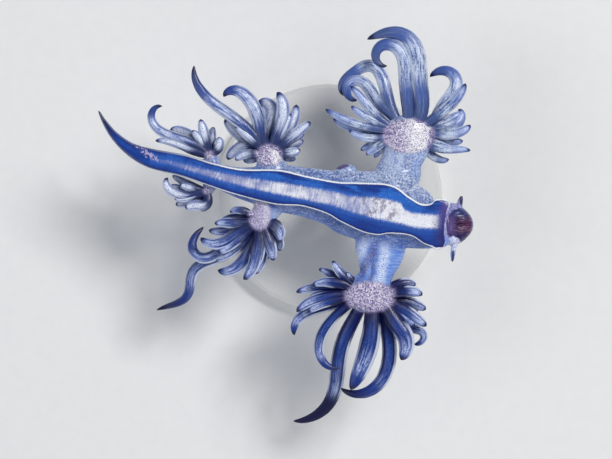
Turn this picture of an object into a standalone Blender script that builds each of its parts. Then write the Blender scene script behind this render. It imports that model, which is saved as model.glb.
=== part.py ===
"""Blue dragon sea slug, a still model at life size on a plain display stand.

The animal floats foot side up, so the blue sole faces +Z and the pearly back faces down.
The head points to +X, the animal's own right side is +Y and its own left side is -Y.
The origin is the middle of the stand's underside.
Sizes and shapes are worked out in millimetres, and each finished mesh is brought to metres.
"""

import math
from collections import namedtuple

import bmesh
import bpy
from mathutils import Matrix, Vector

# Driving dimensions in millimetres
METRES_PER_MM = 0.001
JOINT_GAP = 0.3
SOLE_HEIGHT = 16.0
RIM_THICKNESS = 0.42
RIM_OVERHANG = 0.16
ARM_LEVEL = -1.75

BASE_RADIUS = 12.0
BASE_THICKNESS = 2.5
BASE_CHAMFER = 0.4
ROD_RADIUS = 1.0
ROD_SIDES = 16
ROD_SECTION = 10.0
BASE_SIDES = 48

ARM_SIDES = 14
CERAS_SIDES = 6
CERAS_STEP = 1.15
FINE_STEPS = 8
TIP_STEPS = 3
CERAS_ROOT_DEPTH = 0.55
CERAS_FLATNESS = 0.72
CERAS_LEAST_THICKNESS = 0.5
LAYER_STEP = 0.32
UPPER_RISE = 0.05
LOWER_DROP = 0.13

# One cross section of the body: its middle on the sole, half the sole's width, how far the
# sides swell to the animal's right and left, and its depth from the sole to the back
Section = namedtuple("Section", "x y z sole side_right side_left depth")

BODY = (
    Section(-23.25, 8.60, -1.10, 0.10, 0.10, 0.10, 0.25),
    Section(-22.60, 7.40, -0.85, 0.24, 0.26, 0.26, 0.60),
    Section(-21.60, 6.05, -0.60, 0.42, 0.44, 0.44, 0.95),
    Section(-20.00, 4.70, -0.32, 0.66, 0.68, 0.68, 1.35),
    Section(-17.80, 3.75, -0.10, 1.00, 0.98, 0.98, 1.85),
    Section(-14.60, 3.05, 0.00, 1.12, 1.10, 1.05, 2.30),
    Section(-12.00, 2.20, 0.00, 1.18, 1.20, 1.05, 2.65),
    Section(-9.00, 1.40, 0.00, 1.36, 1.50, 1.60, 3.00),
    Section(-5.30, 0.90, 0.00, 1.77, 2.25, 2.35, 3.40),
    Section(-2.60, 0.50, 0.00, 1.56, 2.35, 2.50, 3.60),
    Section(0.10, -0.15, 0.00, 1.70, 2.75, 2.70, 3.90),
    Section(1.80, -0.65, 0.00, 2.12, 3.25, 3.20, 4.10),
    Section(4.10, -1.20, 0.00, 2.58, 3.75, 3.35, 4.30),
    Section(5.70, -1.40, 0.00, 2.56, 3.70, 3.25, 4.20),
    Section(7.10, -1.85, 0.00, 2.05, 3.45, 3.20, 3.90),
    Section(8.70, -2.40, 0.00, 1.73, 3.10, 2.90, 3.55),
    Section(10.00, -2.75, 0.00, 2.20, 2.55, 2.55, 3.30),
    Section(10.95, -2.75, 0.00, 2.50, 2.25, 2.25, 3.20),
    Section(11.70, -2.70, -0.02, 2.15, 2.00, 2.00, 3.05),
)

# Where the body is parted, counted in sections from the tip of the tail
BODY_LENGTHS = {
    "tail_tip": (0.0, 2.9),
    "tail": (2.9, 5.2),
    "body_rear": (5.2, 7.2),
    "body_middle": (7.2, 9.6),
    "body_front": (9.6, 15.5),
    "neck": (15.5, 18.0),
}
RINGS_PER_SECTION = 2

# One cross section of an arm: its middle, half its width and half its thickness
Limb = namedtuple("Limb", "x y z half_width half_thickness")

ARMS = {
    "front_right": (
        Limb(6.0, 0.2, -1.9, 2.45, 1.50),
        Limb(6.9, 2.3, -1.9, 2.30, 1.40),
        Limb(7.1, 3.0, -1.85, 2.15, 1.25),
        Limb(7.3, 3.7, -1.8, 2.05, 1.15),
        Limb(7.6, 4.6, -1.75, 2.25, 1.05),
        Limb(7.8, 5.6, -1.75, 2.50, 1.05),
        Limb(7.9, 6.6, -1.75, 2.50, 1.00),
        Limb(7.95, 7.5, -1.75, 2.00, 0.85),
        Limb(7.95, 8.2, -1.75, 0.70, 0.45),
    ),
    "front_left": (
        Limb(5.2, -2.6, -1.9, 2.50, 1.50),
        Limb(5.1, -5.1, -1.9, 2.55, 1.40),
        Limb(4.9, -6.6, -1.8, 2.20, 1.20),
        Limb(4.6, -8.1, -1.75, 1.65, 1.05),
        Limb(4.15, -9.2, -1.75, 2.25, 1.05),
        Limb(3.95, -10.1, -1.75, 2.52, 1.05),
        Limb(3.75, -11.1, -1.75, 2.05, 0.90),
        Limb(3.65, -11.75, -1.75, 0.70, 0.45),
    ),
    "middle_right": (
        Limb(-5.6, 1.6, -1.6, 1.75, 1.10),
        Limb(-5.9, 2.9, -1.6, 1.65, 1.00),
        Limb(-6.0, 3.45, -1.6, 1.40, 0.90),
        Limb(-6.1, 4.1, -1.6, 1.35, 0.85),
        Limb(-6.15, 4.7, -1.6, 1.10, 0.75),
        Limb(-6.15, 5.15, -1.6, 0.45, 0.40),
    ),
    "middle_left": (
        Limb(-5.9, 0.0, -1.6, 1.70, 1.10),
        Limb(-6.3, -1.2, -1.6, 1.50, 1.00),
        Limb(-6.7, -1.85, -1.6, 1.25, 0.90),
        Limb(-7.0, -2.55, -1.6, 1.15, 0.85),
        Limb(-7.15, -3.15, -1.6, 0.95, 0.75),
        Limb(-7.2, -3.6, -1.6, 0.40, 0.40),
    ),
    "rear_right": (
        Limb(-11.5, 2.2, -1.3, 0.90, 0.80),
        Limb(-11.8, 3.3, -1.3, 0.80, 0.72),
        Limb(-11.95, 3.85, -1.3, 0.70, 0.62),
        Limb(-12.1, 4.25, -1.3, 0.64, 0.55),
        Limb(-12.2, 4.6, -1.3, 0.35, 0.35),
    ),
    "rear_left": (
        Limb(-11.8, 2.0, -1.3, 0.85, 0.80),
        Limb(-12.0, 1.3, -1.3, 0.75, 0.70),
        Limb(-12.15, 0.85, -1.3, 0.65, 0.58),
        Limb(-12.4, 0.5, -1.3, 0.60, 0.52),
        Limb(-12.55, 0.15, -1.3, 0.35, 0.35),
    ),
}

# Where each arm leaves the body and where its hub of cerata begins, counted in sections.
# The middle and rear arms are so short that their hubs sit straight on the body.
ARM_CUTS = {
    "front_right": (1.9, 3.1),
    "front_left": (1.0, 3.0),
    "middle_right": (2.0, 2.0),
    "middle_left": (2.0, 2.0),
    "rear_right": (2.0, 2.0),
    "rear_left": (2.0, 2.0),
}
ARM_ROOTS = {
    "front_right": "body_front",
    "front_left": "body_front",
    "middle_right": "body_middle",
    "middle_left": "body_middle",
    "rear_right": "body_rear",
    "rear_left": "body_rear",
}

# One ceras, seen from above: the bearing at its root in degrees from +X towards +Y, its
# length, how far it turns evenly, how far it curls towards its tip, its width, how far it
# winds from side to side, and how far it swings out at its elbow
Ceras = namedtuple("Ceras", "bearing length sway curl width wave elbow", defaults=(0, 0))
ELBOW_PLACE = 0.65
ELBOW_LENGTH = 0.14

# One fan of cerata: the middle of its hub and the half axes of the ring that the roots lie on
Fan = namedtuple("Fan", "x y z half_x half_y cerata")

FANS = {
    "front_right": Fan(7.8, 6.4, ARM_LEVEL, 2.00, 1.36, (
        Ceras(172, 6.7, -18, -8, 0.85),
        Ceras(180, 5.8, -16, -30, 0.80),
        Ceras(196, 4.2, -40, -20, 0.80),
        Ceras(202, 3.1, 0, 5, 0.85),
        Ceras(210, 2.9, 5, 0, 0.85),
        Ceras(216, 2.4, 14, 10, 0.80),
        Ceras(150, 5.7, -47, 34, 0.95),
        Ceras(122, 9.1, -18, 262, 1.25, wave=18),
        Ceras(88, 12.0, -22, 306, 1.50, wave=10),
        Ceras(120, 11.3, -80, 280, 1.35, elbow=60),
        Ceras(60, 13.0, 100, 46, 1.85, wave=17),
        Ceras(24, 9.2, 75, 128, 1.40, wave=19),
        Ceras(34, 6.0, 8, 28, 1.10),
        Ceras(8, 4.8, -8, 134, 1.35),
        Ceras(-4, 4.6, 5, 52, 1.10),
        Ceras(-15, 3.8, 5, 24, 1.00),
        Ceras(-40, 5.0, 90, -65, 0.85),
        Ceras(-50, 3.6, 14, 60, 0.85),
        Ceras(160, 4.4, -20, 0, 0.85),
        Ceras(20, 4.2, 0, 20, 0.95),
        Ceras(-27, 3.0, 6, 20, 0.85),
        Ceras(188, 3.6, -20, -20, 0.75),
    )),
    "front_left": Fan(4.0, -9.9, ARM_LEVEL, 2.00, 1.36, (
        Ceras(134, 1.6, -14, 0, 0.80),
        Ceras(138, 2.7, -14, 0, 0.85),
        Ceras(141, 3.4, -14, -16, 0.90),
        Ceras(147, 3.9, 8, 4, 0.95),
        Ceras(150, 4.2, 52, 0, 0.95),
        Ceras(163, 5.6, 38, 0, 1.00),
        Ceras(180, 5.8, 22, 28, 1.10),
        Ceras(201, 7.5, -36, 124, 1.15),
        Ceras(213, 9.3, 38, 124, 1.05),
        Ceras(243, 15.1, 57, -118, 1.65, wave=-8),
        Ceras(276, 8.6, -49, 16, 1.95),
        Ceras(298, 12.6, -64, -96, 1.55, wave=-2),
        Ceras(314, 6.4, -22, -58, 1.75, wave=-9),
        Ceras(322, 6.8, -17, -130, 0.95, elbow=68),
        Ceras(333, 4.7, -10, -4, 1.25),
        Ceras(346, 4.0, 4, -24, 1.20),
        Ceras(5, 3.4, 14, -62, 1.15),
        Ceras(24, 3.0, -8, -54, 1.10),
        Ceras(156, 3.6, 30, 0, 0.80),
        Ceras(172, 4.2, 26, 10, 0.85),
        Ceras(190, 4.6, 10, 20, 0.90),
        Ceras(340, 3.3, 0, -10, 0.95),
        Ceras(327, 3.8, -6, -20, 1.00),
    )),
    "middle_right": Fan(-6.1, 4.1, -1.6, 1.00, 0.92, (
        Ceras(123, 11.2, 72, -116, 1.25),
        Ceras(145, 4.9, 0, -22, 1.20),
        Ceras(116, 8.2, -62, 202, 1.45, wave=-6),
        Ceras(98, 5.6, -86, 194, 1.55, wave=12),
        Ceras(69, 5.8, 2, 64, 1.40),
        Ceras(53, 5.0, 10, 26, 1.30),
        Ceras(40, 4.4, 0, -4, 1.10),
        Ceras(27, 2.8, -4, -8, 1.10),
        Ceras(10, 2.2, -20, 48, 1.00),
        Ceras(146, 4.1, 92, 22, 1.25, wave=-8),
        Ceras(172, 2.6, 26, 44, 0.95),
        Ceras(190, 1.7, 4, 5, 0.90),
        Ceras(108, 4.4, -20, 0, 1.10),
        Ceras(84, 4.6, 0, 10, 1.20),
        Ceras(62, 3.8, 0, 10, 1.10),
        Ceras(33, 3.2, 0, 0, 0.95),
        Ceras(134, 3.6, 10, 0, 1.00),
        Ceras(-4, 1.7, -14, 0, 0.85),
    )),
    "middle_left": Fan(-7.05, -2.27, -1.6, 0.80, 1.00, (
        Ceras(154, 2.4, 20, 44, 0.80),
        Ceras(174, 3.2, 20, 9, 0.95),
        Ceras(196, 3.8, -48, 45, 1.05),
        Ceras(203, 4.6, -12, -30, 1.10),
        Ceras(212, 6.0, 16, -102, 1.20, wave=-5),
        Ceras(248, 10.5, -106, -104, 1.20, wave=-28),
        Ceras(238, 14.3, -116, 82, 1.25, elbow=78),
        Ceras(254, 6.6, -16, -84, 1.35),
        Ceras(266, 5.5, -4, -46, 1.30),
        Ceras(280, 4.8, -26, -26, 1.35),
        Ceras(296, 3.5, -14, -10, 1.20),
        Ceras(318, 3.1, -10, -68, 1.10),
        Ceras(350, 2.6, -75, -27, 0.95),
        Ceras(186, 2.8, 0, 10, 0.85),
        Ceras(222, 4.6, 0, -20, 1.00),
        Ceras(232, 5.6, -10, -40, 1.05),
        Ceras(273, 4.0, -10, -20, 1.05),
        Ceras(288, 3.2, -10, -10, 1.05),
        Ceras(334, 2.5, -40, -30, 0.90),
    )),
    "rear_right": Fan(-12.1, 4.15, -1.3, 0.45, 0.38, (
        Ceras(136, 8.6, 110, -262, 1.00),
        Ceras(134, 4.5, 8, 44, 1.35),
        Ceras(103, 3.3, 2, 0, 1.05),
        Ceras(79, 2.5, 37, -67, 0.95),
        Ceras(32, 1.8, 73, 24, 1.05),
        Ceras(160, 3.4, -10, 8, 1.25),
        Ceras(166, 5.2, -26, 50, 0.80),
        Ceras(146, 3.6, 10, 0, 0.80),
        Ceras(118, 2.6, 10, 10, 0.85),
    )),
    "rear_left": Fan(-12.35, 0.5, -1.3, 0.40, 0.34, (
        Ceras(190, 4.9, 0, -150, 1.00, wave=9),
        Ceras(176, 3.4, 4, -36, 0.90),
        Ceras(168, 2.4, 0, -10, 0.85),
        Ceras(224, 3.2, -60, 20, 1.10, wave=6),
        Ceras(276, 3.2, -180, 84, 1.15, wave=20),
        Ceras(160, 3.5, -6, -10, 0.80),
        Ceras(204, 3.0, -20, -10, 0.85),
    )),
}

# The longest ceras of two fans hangs down under the water: its place in the fan and its fall
SINKING = {
    "front_left": (9, 7.0),
    "middle_left": (6, 5.0),
}

# The head as rings along +X: how far along, half its width, and its top and bottom from the sole
HEAD = (
    (12.00, 2.10, -0.25, -2.95),
    (12.35, 2.20, -0.15, -3.05),
    (12.90, 2.00, -0.12, -3.00),
    (13.50, 1.60, -0.20, -2.80),
    (13.98, 1.12, -0.42, -2.45),
    (14.30, 0.66, -0.80, -2.05),
    (14.42, 0.30, -1.15, -1.70),
)
HEAD_MIDDLE_Y = -2.85
HEAD_SIDES = 18
MOUTH_X = 13.45
MOUTH_Z = -0.28
MOUTH_TILT = math.radians(12)
LIP_LENGTH = 0.78
LIP_WIDTH = 0.44
LIP_THICKNESS = 0.17
LIP_SEGMENTS = 16
LIP_SIDES = 6
MOUTH_SLIT = (1.05, 0.20, 0.50)

# Tentacles: their sections from the head out, and where the stub on the head ends
FEELERS = {
    "oral_tentacle_right": (
        Limb(12.95, -1.60, -1.35, 0.30, 0.30),
        Limb(13.05, -0.80, -1.30, 0.29, 0.29),
        Limb(13.15, -0.35, -1.25, 0.27, 0.27),
        Limb(13.28, 0.05, -1.20, 0.12, 0.12),
    ),
    "oral_tentacle_left": (
        Limb(12.75, -4.00, -1.35, 0.32, 0.32),
        Limb(12.50, -5.05, -1.30, 0.30, 0.30),
        Limb(12.36, -5.80, -1.30, 0.27, 0.27),
        Limb(12.30, -6.65, -1.25, 0.12, 0.12),
    ),
    "rhinophore_right": (
        Limb(12.95, -2.10, -2.35, 0.30, 0.30),
        Limb(12.90, -1.80, -2.95, 0.29, 0.29),
        Limb(12.80, -1.50, -3.50, 0.27, 0.27),
        Limb(12.65, -1.25, -4.00, 0.12, 0.12),
    ),
    "rhinophore_left": (
        Limb(12.95, -3.60, -2.35, 0.30, 0.30),
        Limb(12.90, -3.90, -2.95, 0.29, 0.29),
        Limb(12.80, -4.20, -3.50, 0.27, 0.27),
        Limb(12.65, -4.45, -4.00, 0.12, 0.12),
    ),
}
FEELER_CUT = 1.15
FEELER_SIDES = 8

PAPILLA_CENTRE = (1.65, 2.45, -1.30)
PAPILLA_RADII = (1.15, 0.80, 0.70)


def clear_scene():
    for old in list(bpy.data.objects):
        bpy.data.objects.remove(old, do_unlink=True)


def principled(name, colour, roughness, metallic):
    made = bpy.data.materials.new(name)
    made.use_nodes = True
    shader = made.node_tree.nodes["Principled BSDF"]
    shader.inputs["Base Color"].default_value = (*colour, 1.0)
    shader.inputs["Roughness"].default_value = roughness
    shader.inputs["Metallic"].default_value = metallic
    return made


def between(rows, place):
    """A row of sizes at any place along named rows, on a smooth curve through them."""
    last = len(rows) - 1
    index = min(int(place), last - 1)
    part = place - index
    before = rows[max(index - 1, 0)]
    start = rows[index]
    end = rows[index + 1]
    after = rows[min(index + 2, last)]
    values = []
    for a, b, c, d in zip(before, start, end, after):
        slope_in = (c - a) / 2
        slope_out = (d - b) / 2
        bend = 2 * (b - c) + slope_in + slope_out
        sag = 3 * (c - b) - 2 * slope_in - slope_out
        values.append(b + part * (slope_in + part * (sag + part * bend)))
    return type(start)(*values)


def heading_at(rows, place):
    """The direction of the line through the rows' first three sizes."""
    small = 0.02
    low = max(place - small, 0.0)
    high = min(place + small, len(rows) - 1.0)
    return (Vector(between(rows, high)[:3]) - Vector(between(rows, low)[:3])).normalized()


def places_between(first, last, rows, per_row):
    """Places from first to last, each moved in by half the gap where nodes meet."""
    def inward(place, sign):
        near = Vector(between(rows, place)[:3])
        far = Vector(between(rows, place + sign * 0.05)[:3])
        return place + sign * 0.05 * (JOINT_GAP / 2) / (far - near).length

    end = len(rows) - 1
    start = first if first == 0 else inward(first, 1)
    stop = last if last == end else inward(last, -1)
    count = max(2, round((last - first) * per_row) + 1)
    return [start + (stop - start) * step / (count - 1) for step in range(count)]


def loft(name, rings, pointed=False):
    """A closed skin over rings with as many points each, with flat or pointed ends."""
    shape = bmesh.new()
    rows = [[shape.verts.new(point) for point in ring] for ring in rings]
    sides = len(rows[0])
    for low, high in zip(rows, rows[1:]):
        for side in range(sides):
            after = (side + 1) % sides
            shape.faces.new((low[side], low[after], high[after], high[side]))
    shape.faces.new(reversed(rows[0]))
    if pointed:
        tip = shape.verts.new(pointed)
        for side in range(sides):
            shape.faces.new((rows[-1][side], rows[-1][(side + 1) % sides], tip))
    else:
        shape.faces.new(rows[-1])
    bmesh.ops.recalc_face_normals(shape, faces=shape.faces)
    return finish_mesh(name, shape)


def finish_mesh(name, shape):
    bmesh.ops.triangulate(shape, faces=shape.faces)
    mesh = bpy.data.meshes.new(name)
    shape.to_mesh(mesh)
    shape.free()
    made = bpy.data.objects.new(name, mesh)
    bpy.context.scene.collection.objects.link(made)
    return made


def frame_of(direction):
    """Across and up vectors square to a direction that runs more or less level."""
    across = Vector((0, 0, 1)).cross(direction)
    if across.length < 0.05:
        across = Vector((0, 1, 0))
    across.normalize()
    return across, direction.cross(across).normalized()


def body_ring(place):
    """The sole's flat top, its thin overhanging rim, the swelling sides and the round back."""
    row = between(BODY, place)
    direction = heading_at(BODY, place)
    across, up = frame_of(Vector((direction.x, direction.y, 0)))
    rim = min(RIM_THICKNESS, row.depth * 0.3)
    half = []
    for side in (row.side_right, row.side_left):
        half.append((
            (0.55 * row.sole, 0.03),
            (row.sole - 0.12 * min(1.0, row.sole), 0.05),
            (row.sole, -0.35 * rim),
            (row.sole - RIM_OVERHANG * min(1.0, row.sole), -rim),
            (0.97 * side, -0.32 * row.depth),
            (side, -0.50 * row.depth),
            (0.86 * side, -0.74 * row.depth),
            (0.50 * side, -0.93 * row.depth),
        ))
    right, left = half
    outline = [(0.0, 0.0)]
    outline += right
    outline.append((0.0, -row.depth))
    outline += [(-width, height) for width, height in reversed(left)]
    middle = Vector((row.x, row.y, SOLE_HEIGHT + row.z))
    return [middle + across * width + up * height for width, height in outline]


def body_length(name, first, last):
    places = places_between(first, last, BODY, RINGS_PER_SECTION)
    return loft(name, [body_ring(place) for place in places])


def limb_ring(rows, place, sides):
    row = between(rows, place)
    across, up = frame_of(heading_at(rows, place))
    middle = Vector((row.x, row.y, SOLE_HEIGHT + row.z))
    ring = []
    for side in range(sides):
        angle = 2 * math.pi * side / sides
        wide = math.copysign(abs(math.cos(angle)) ** 0.9, math.cos(angle)) * row.half_width
        high = math.copysign(abs(math.sin(angle)) ** 0.9, math.sin(angle)) * row.half_thickness
        ring.append(middle + across * wide + up * high)
    return ring


def limb_length(name, rows, first, last, sides):
    places = places_between(first, last, rows, RINGS_PER_SECTION)
    return loft(name, [limb_ring(rows, place, sides) for place in places])


def combine(name, solid, others, operation):
    """Joins closed bodies to a solid or cuts them from it, and keeps its largest surface."""
    group = bpy.data.collections.new(name + "_others")
    for piece in others:
        for home in list(piece.users_collection):
            home.objects.unlink(piece)
        group.objects.link(piece)
    bpy.context.scene.collection.children.link(group)
    change = solid.modifiers.new("combine", "BOOLEAN")
    change.operation = operation
    change.operand_type = "COLLECTION"
    change.collection = group
    change.solver = "EXACT"
    evaluated = solid.evaluated_get(bpy.context.evaluated_depsgraph_get())
    mesh = bpy.data.meshes.new_from_object(evaluated)
    for piece in list(group.objects):
        bpy.data.objects.remove(piece, do_unlink=True)
    bpy.data.collections.remove(group)
    bpy.data.objects.remove(solid, do_unlink=True)
    shape = bmesh.new()
    shape.from_mesh(mesh)
    keep_largest(shape)
    bmesh.ops.remove_doubles(shape, verts=shape.verts, dist=1e-4)
    bmesh.ops.dissolve_degenerate(shape, edges=shape.edges, dist=1e-4)
    return finish_mesh(name, shape)


def keep_largest(shape):
    """Drops every closed surface but the one with the largest box."""
    left = set(shape.verts)
    groups = []
    while left:
        start = left.pop()
        group = {start}
        edge = [start]
        while edge:
            vertex = edge.pop()
            for link in vertex.link_edges:
                other = link.other_vert(vertex)
                if other in left:
                    left.discard(other)
                    group.add(other)
                    edge.append(other)
        groups.append(group)
    groups.sort(key=box_size)
    for group in groups[:-1]:
        bmesh.ops.delete(shape, geom=list(group), context="VERTS")


def box_size(group):
    spans = [max(v.co[axis] for v in group) - min(v.co[axis] for v in group) for axis in range(3)]
    return spans[0] * spans[1] * spans[2]


def ceras_width(ceras, along):
    """Half the width at a share of a ceras: a narrow root, a full outer half, a round tip."""
    root = 0.72 + 0.28 * math.sin(min(along / 0.55, 1.0) * math.pi / 2)
    blunt = 5.0 - 2.4 * min(max((ceras.length - 6.0) / 7.0, 0.0), 1.0)
    return ceras.width / 2 * root * max(0.0, 1.0 - along ** blunt) ** 0.58


def ceras_heading(ceras, along):
    """The way a ceras points, in degrees, at a share of its length."""
    wind = ceras.wave * math.sin(3 * math.pi * along)
    swing = ceras.elbow * math.exp(-((along - ELBOW_PLACE) / ELBOW_LENGTH) ** 2)
    return ceras.bearing + ceras.sway * along + ceras.curl * along ** 3 + wind + swing


def ceras_body(name, fan, ceras, upper, sink):
    """One ceras grown from inside its hub, turning and curling as it goes out."""
    steps = max(4, round(ceras.length / CERAS_STEP) + 2)
    bearing = math.radians(ceras.bearing)
    outward = Vector((math.cos(bearing), math.sin(bearing), 0))
    level = LAYER_STEP if upper else -LAYER_STEP
    lean = UPPER_RISE if upper else -LOWER_DROP
    root = Vector((
        fan.x + fan.half_x * outward.x,
        fan.y + fan.half_y * outward.y,
        SOLE_HEIGHT + fan.z + level,
    ))
    count = steps * FINE_STEPS
    point = root.copy()
    points = [root - outward * CERAS_ROOT_DEPTH * min(1.0, fan.half_x), root.copy()]
    shares = [0.0, 0.0]
    for step in range(count):
        along = (step + 0.5) / count
        turn = math.radians(ceras_heading(ceras, along))
        slope = lean - 2.2 * sink / ceras.length * along ** 1.2
        point = point + Vector((math.cos(turn), math.sin(turn), slope)) * ceras.length / count
        if (step + 1) % FINE_STEPS == 0 or step + 1 == count - TIP_STEPS:
            points.append(point.copy())
            shares.append((step + 1) / count)
    rings = []
    for index, (middle, along) in enumerate(zip(points[:-1], shares)):
        direction = (points[index + 1] - points[max(index - 1, 0)]).normalized()
        across, up = frame_of(direction)
        wide = ceras_width(ceras, along)
        least = CERAS_LEAST_THICKNESS / 2 * min(1.0, 3.2 * (1 - along))
        high = max(wide * CERAS_FLATNESS, least)
        ring = []
        for side in range(CERAS_SIDES):
            angle = 2 * math.pi * side / CERAS_SIDES
            ring.append(middle + across * wide * math.cos(angle) + up * high * math.sin(angle))
        rings.append(ring)
    return loft(name, rings, pointed=points[-1])


def make_fan(side):
    fan = FANS[side]
    name = "cerata_" + side
    rows = ARMS[side]
    pieces = [limb_length(name + "_hub", rows, ARM_CUTS[side][1], len(rows) - 1.0, ARM_SIDES)]
    sinking, fall = SINKING.get(side, (None, 0.0))
    for index, ceras in enumerate(fan.cerata):
        sink = fall if index == sinking else 0.0
        upper = index % 2 == 0 and index != sinking
        pieces.append(ceras_body(f"{name}_{index}", fan, ceras, upper, sink))
    return combine(name, pieces[0], pieces[1:], "UNION")


def make_arm(side):
    first, last = ARM_CUTS[side]
    return limb_length("arm_" + side, ARMS[side], first, last, ARM_SIDES)


def make_body_length(name):
    first, last = BODY_LENGTHS[name]
    pieces = [body_length(name, first, last)]
    for side, root in ARM_ROOTS.items():
        if root == name:
            pieces.append(limb_length(side + "_root", ARMS[side], 0.0, ARM_CUTS[side][0], ARM_SIDES))
    if name == "body_front":
        pieces.append(make_ball("papilla", PAPILLA_CENTRE, PAPILLA_RADII))
    return combine(name, pieces[0], pieces[1:], "UNION") if len(pieces) > 1 else pieces[0]


def make_ball(name, centre, radii):
    shape = bmesh.new()
    bmesh.ops.create_uvsphere(shape, u_segments=12, v_segments=8, radius=1.0)
    middle = Vector(centre) + Vector((0, 0, SOLE_HEIGHT))
    for vertex in shape.verts:
        vertex.co = middle + Vector([vertex.co[axis] * radii[axis] for axis in range(3)])
    return finish_mesh(name, shape)


def make_head():
    rings = []
    for x, half_width, top, bottom in HEAD:
        middle = SOLE_HEIGHT + (top + bottom) / 2
        half_height = (top - bottom) / 2
        ring = []
        for side in range(HEAD_SIDES):
            angle = 2 * math.pi * side / HEAD_SIDES
            ring.append((
                x,
                HEAD_MIDDLE_Y + half_width * math.cos(angle),
                middle + half_height * math.sin(angle),
            ))
        rings.append(ring)
    added = [make_lips()]
    for name, rows in FEELERS.items():
        added.append(limb_length(name + "_root", rows, 0.0, FEELER_CUT, FEELER_SIDES))
    head = combine("head", loft("head", rings), added, "UNION")
    slit = make_ball("slit", (MOUTH_X, HEAD_MIDDLE_Y, MOUTH_Z), MOUTH_SLIT)
    return combine("head", head, [slit], "DIFFERENCE")


def make_lips():
    """A raised oval ring of lip round the slit of the mouth."""
    bpy.ops.mesh.primitive_torus_add(
        major_segments=LIP_SEGMENTS, minor_segments=LIP_SIDES,
        major_radius=1.0, minor_radius=LIP_THICKNESS / LIP_WIDTH,
    )
    lips = bpy.context.object
    lips.name = "lips"
    place = Matrix.Translation((MOUTH_X, HEAD_MIDDLE_Y, SOLE_HEIGHT + MOUTH_Z))
    turn = Matrix.Rotation(MOUTH_TILT, 4, "Y")
    lips.data.transform(place @ turn @ Matrix.Diagonal((LIP_LENGTH, LIP_WIDTH, LIP_WIDTH, 1.0)))
    return lips


def make_feeler(name):
    rows = FEELERS[name]
    return limb_length(name, rows, FEELER_CUT, len(rows) - 1.0, FEELER_SIDES)


def make_disc(radius, bottom, top, sides):
    shape = bmesh.new()
    place = Matrix.Translation((0, 0, (bottom + top) / 2))
    bmesh.ops.create_cone(
        shape, cap_ends=True, segments=sides, radius1=radius, radius2=radius,
        depth=top - bottom, matrix=place,
    )
    return shape


def make_stand():
    """A flat round base with a chamfered top edge, and a rod that ends below the body."""
    base = make_disc(BASE_RADIUS, 0.0, BASE_THICKNESS, BASE_SIDES)
    rim = [edge for edge in base.edges if all(v.co.z > BASE_THICKNESS / 2 for v in edge.verts)]
    bmesh.ops.bevel(base, geom=rim, offset=BASE_CHAMFER, segments=1, affect="EDGES")
    section = between(BODY, ROD_SECTION)
    bottom = BASE_THICKNESS + JOINT_GAP
    top = SOLE_HEIGHT - section.depth - JOINT_GAP
    rod = make_disc(ROD_RADIUS, bottom, top, ROD_SIDES)
    return finish_mesh("stand_base", base), finish_mesh("stand_rod", rod)


def in_metres(made, material, collection):
    for vertex in made.data.vertices:
        vertex.co = vertex.co * METRES_PER_MM
    made.data.materials.clear()
    made.data.materials.append(material)
    made.data.shade_smooth()
    made.data.set_sharp_from_angle(angle=math.radians(50))
    bpy.context.scene.collection.objects.unlink(made)
    collection.objects.link(made)


def main():
    clear_scene()
    slug = bpy.data.collections.new("blue_dragon_sea_slug")
    bpy.context.scene.collection.children.link(slug)
    blue = principled("royal_blue_skin", (0.02, 0.06, 0.36), 0.35, 0.1)
    pale = principled("silver_blue_skin", (0.40, 0.45, 0.68), 0.35, 0.25)
    dark = principled("purple_skin", (0.06, 0.02, 0.09), 0.35, 0.05)
    finger = principled("cerata_skin", (0.22, 0.26, 0.52), 0.35, 0.25)
    stand = principled("satin_white", (0.78, 0.78, 0.76), 0.45, 0.0)
    for name in BODY_LENGTHS:
        in_metres(make_body_length(name), blue, slug)
    for side, (first, last) in ARM_CUTS.items():
        if first < last:
            in_metres(make_arm(side), pale, slug)
        in_metres(make_fan(side), finger, slug)
    in_metres(make_head(), dark, slug)
    for name in FEELERS:
        in_metres(make_feeler(name), dark, slug)
    for piece in make_stand():
        in_metres(piece, stand, slug)


main()
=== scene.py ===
import math

import bmesh
import bpy
import numpy as np
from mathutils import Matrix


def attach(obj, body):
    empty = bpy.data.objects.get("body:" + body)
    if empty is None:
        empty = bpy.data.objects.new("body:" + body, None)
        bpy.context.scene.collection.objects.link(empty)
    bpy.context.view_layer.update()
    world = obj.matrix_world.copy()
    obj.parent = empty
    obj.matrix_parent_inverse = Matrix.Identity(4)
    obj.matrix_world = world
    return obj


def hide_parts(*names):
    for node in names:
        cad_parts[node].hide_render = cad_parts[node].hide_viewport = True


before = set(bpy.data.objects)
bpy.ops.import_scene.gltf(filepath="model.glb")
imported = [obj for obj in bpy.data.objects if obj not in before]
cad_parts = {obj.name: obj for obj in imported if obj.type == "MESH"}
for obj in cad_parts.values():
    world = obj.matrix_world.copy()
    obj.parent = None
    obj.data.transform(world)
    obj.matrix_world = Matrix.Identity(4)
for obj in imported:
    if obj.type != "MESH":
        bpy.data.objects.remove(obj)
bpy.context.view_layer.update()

# The studio. A plain pale floor carries the display stand, soft lamps stand round it,
# and the camera looks straight down on the animal's blue sole, as in the photograph.
MM = 0.001
SOLE_HEIGHT = 16.0
VIEW_MIDDLE = (-2.4, -3.35)
VIEW_WIDTH = 61.2
CAMERA_ABOVE_SOLE = 250.0
SENSOR_WIDTH = 36.0
FLOOR_HALF = 1500.0


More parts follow.
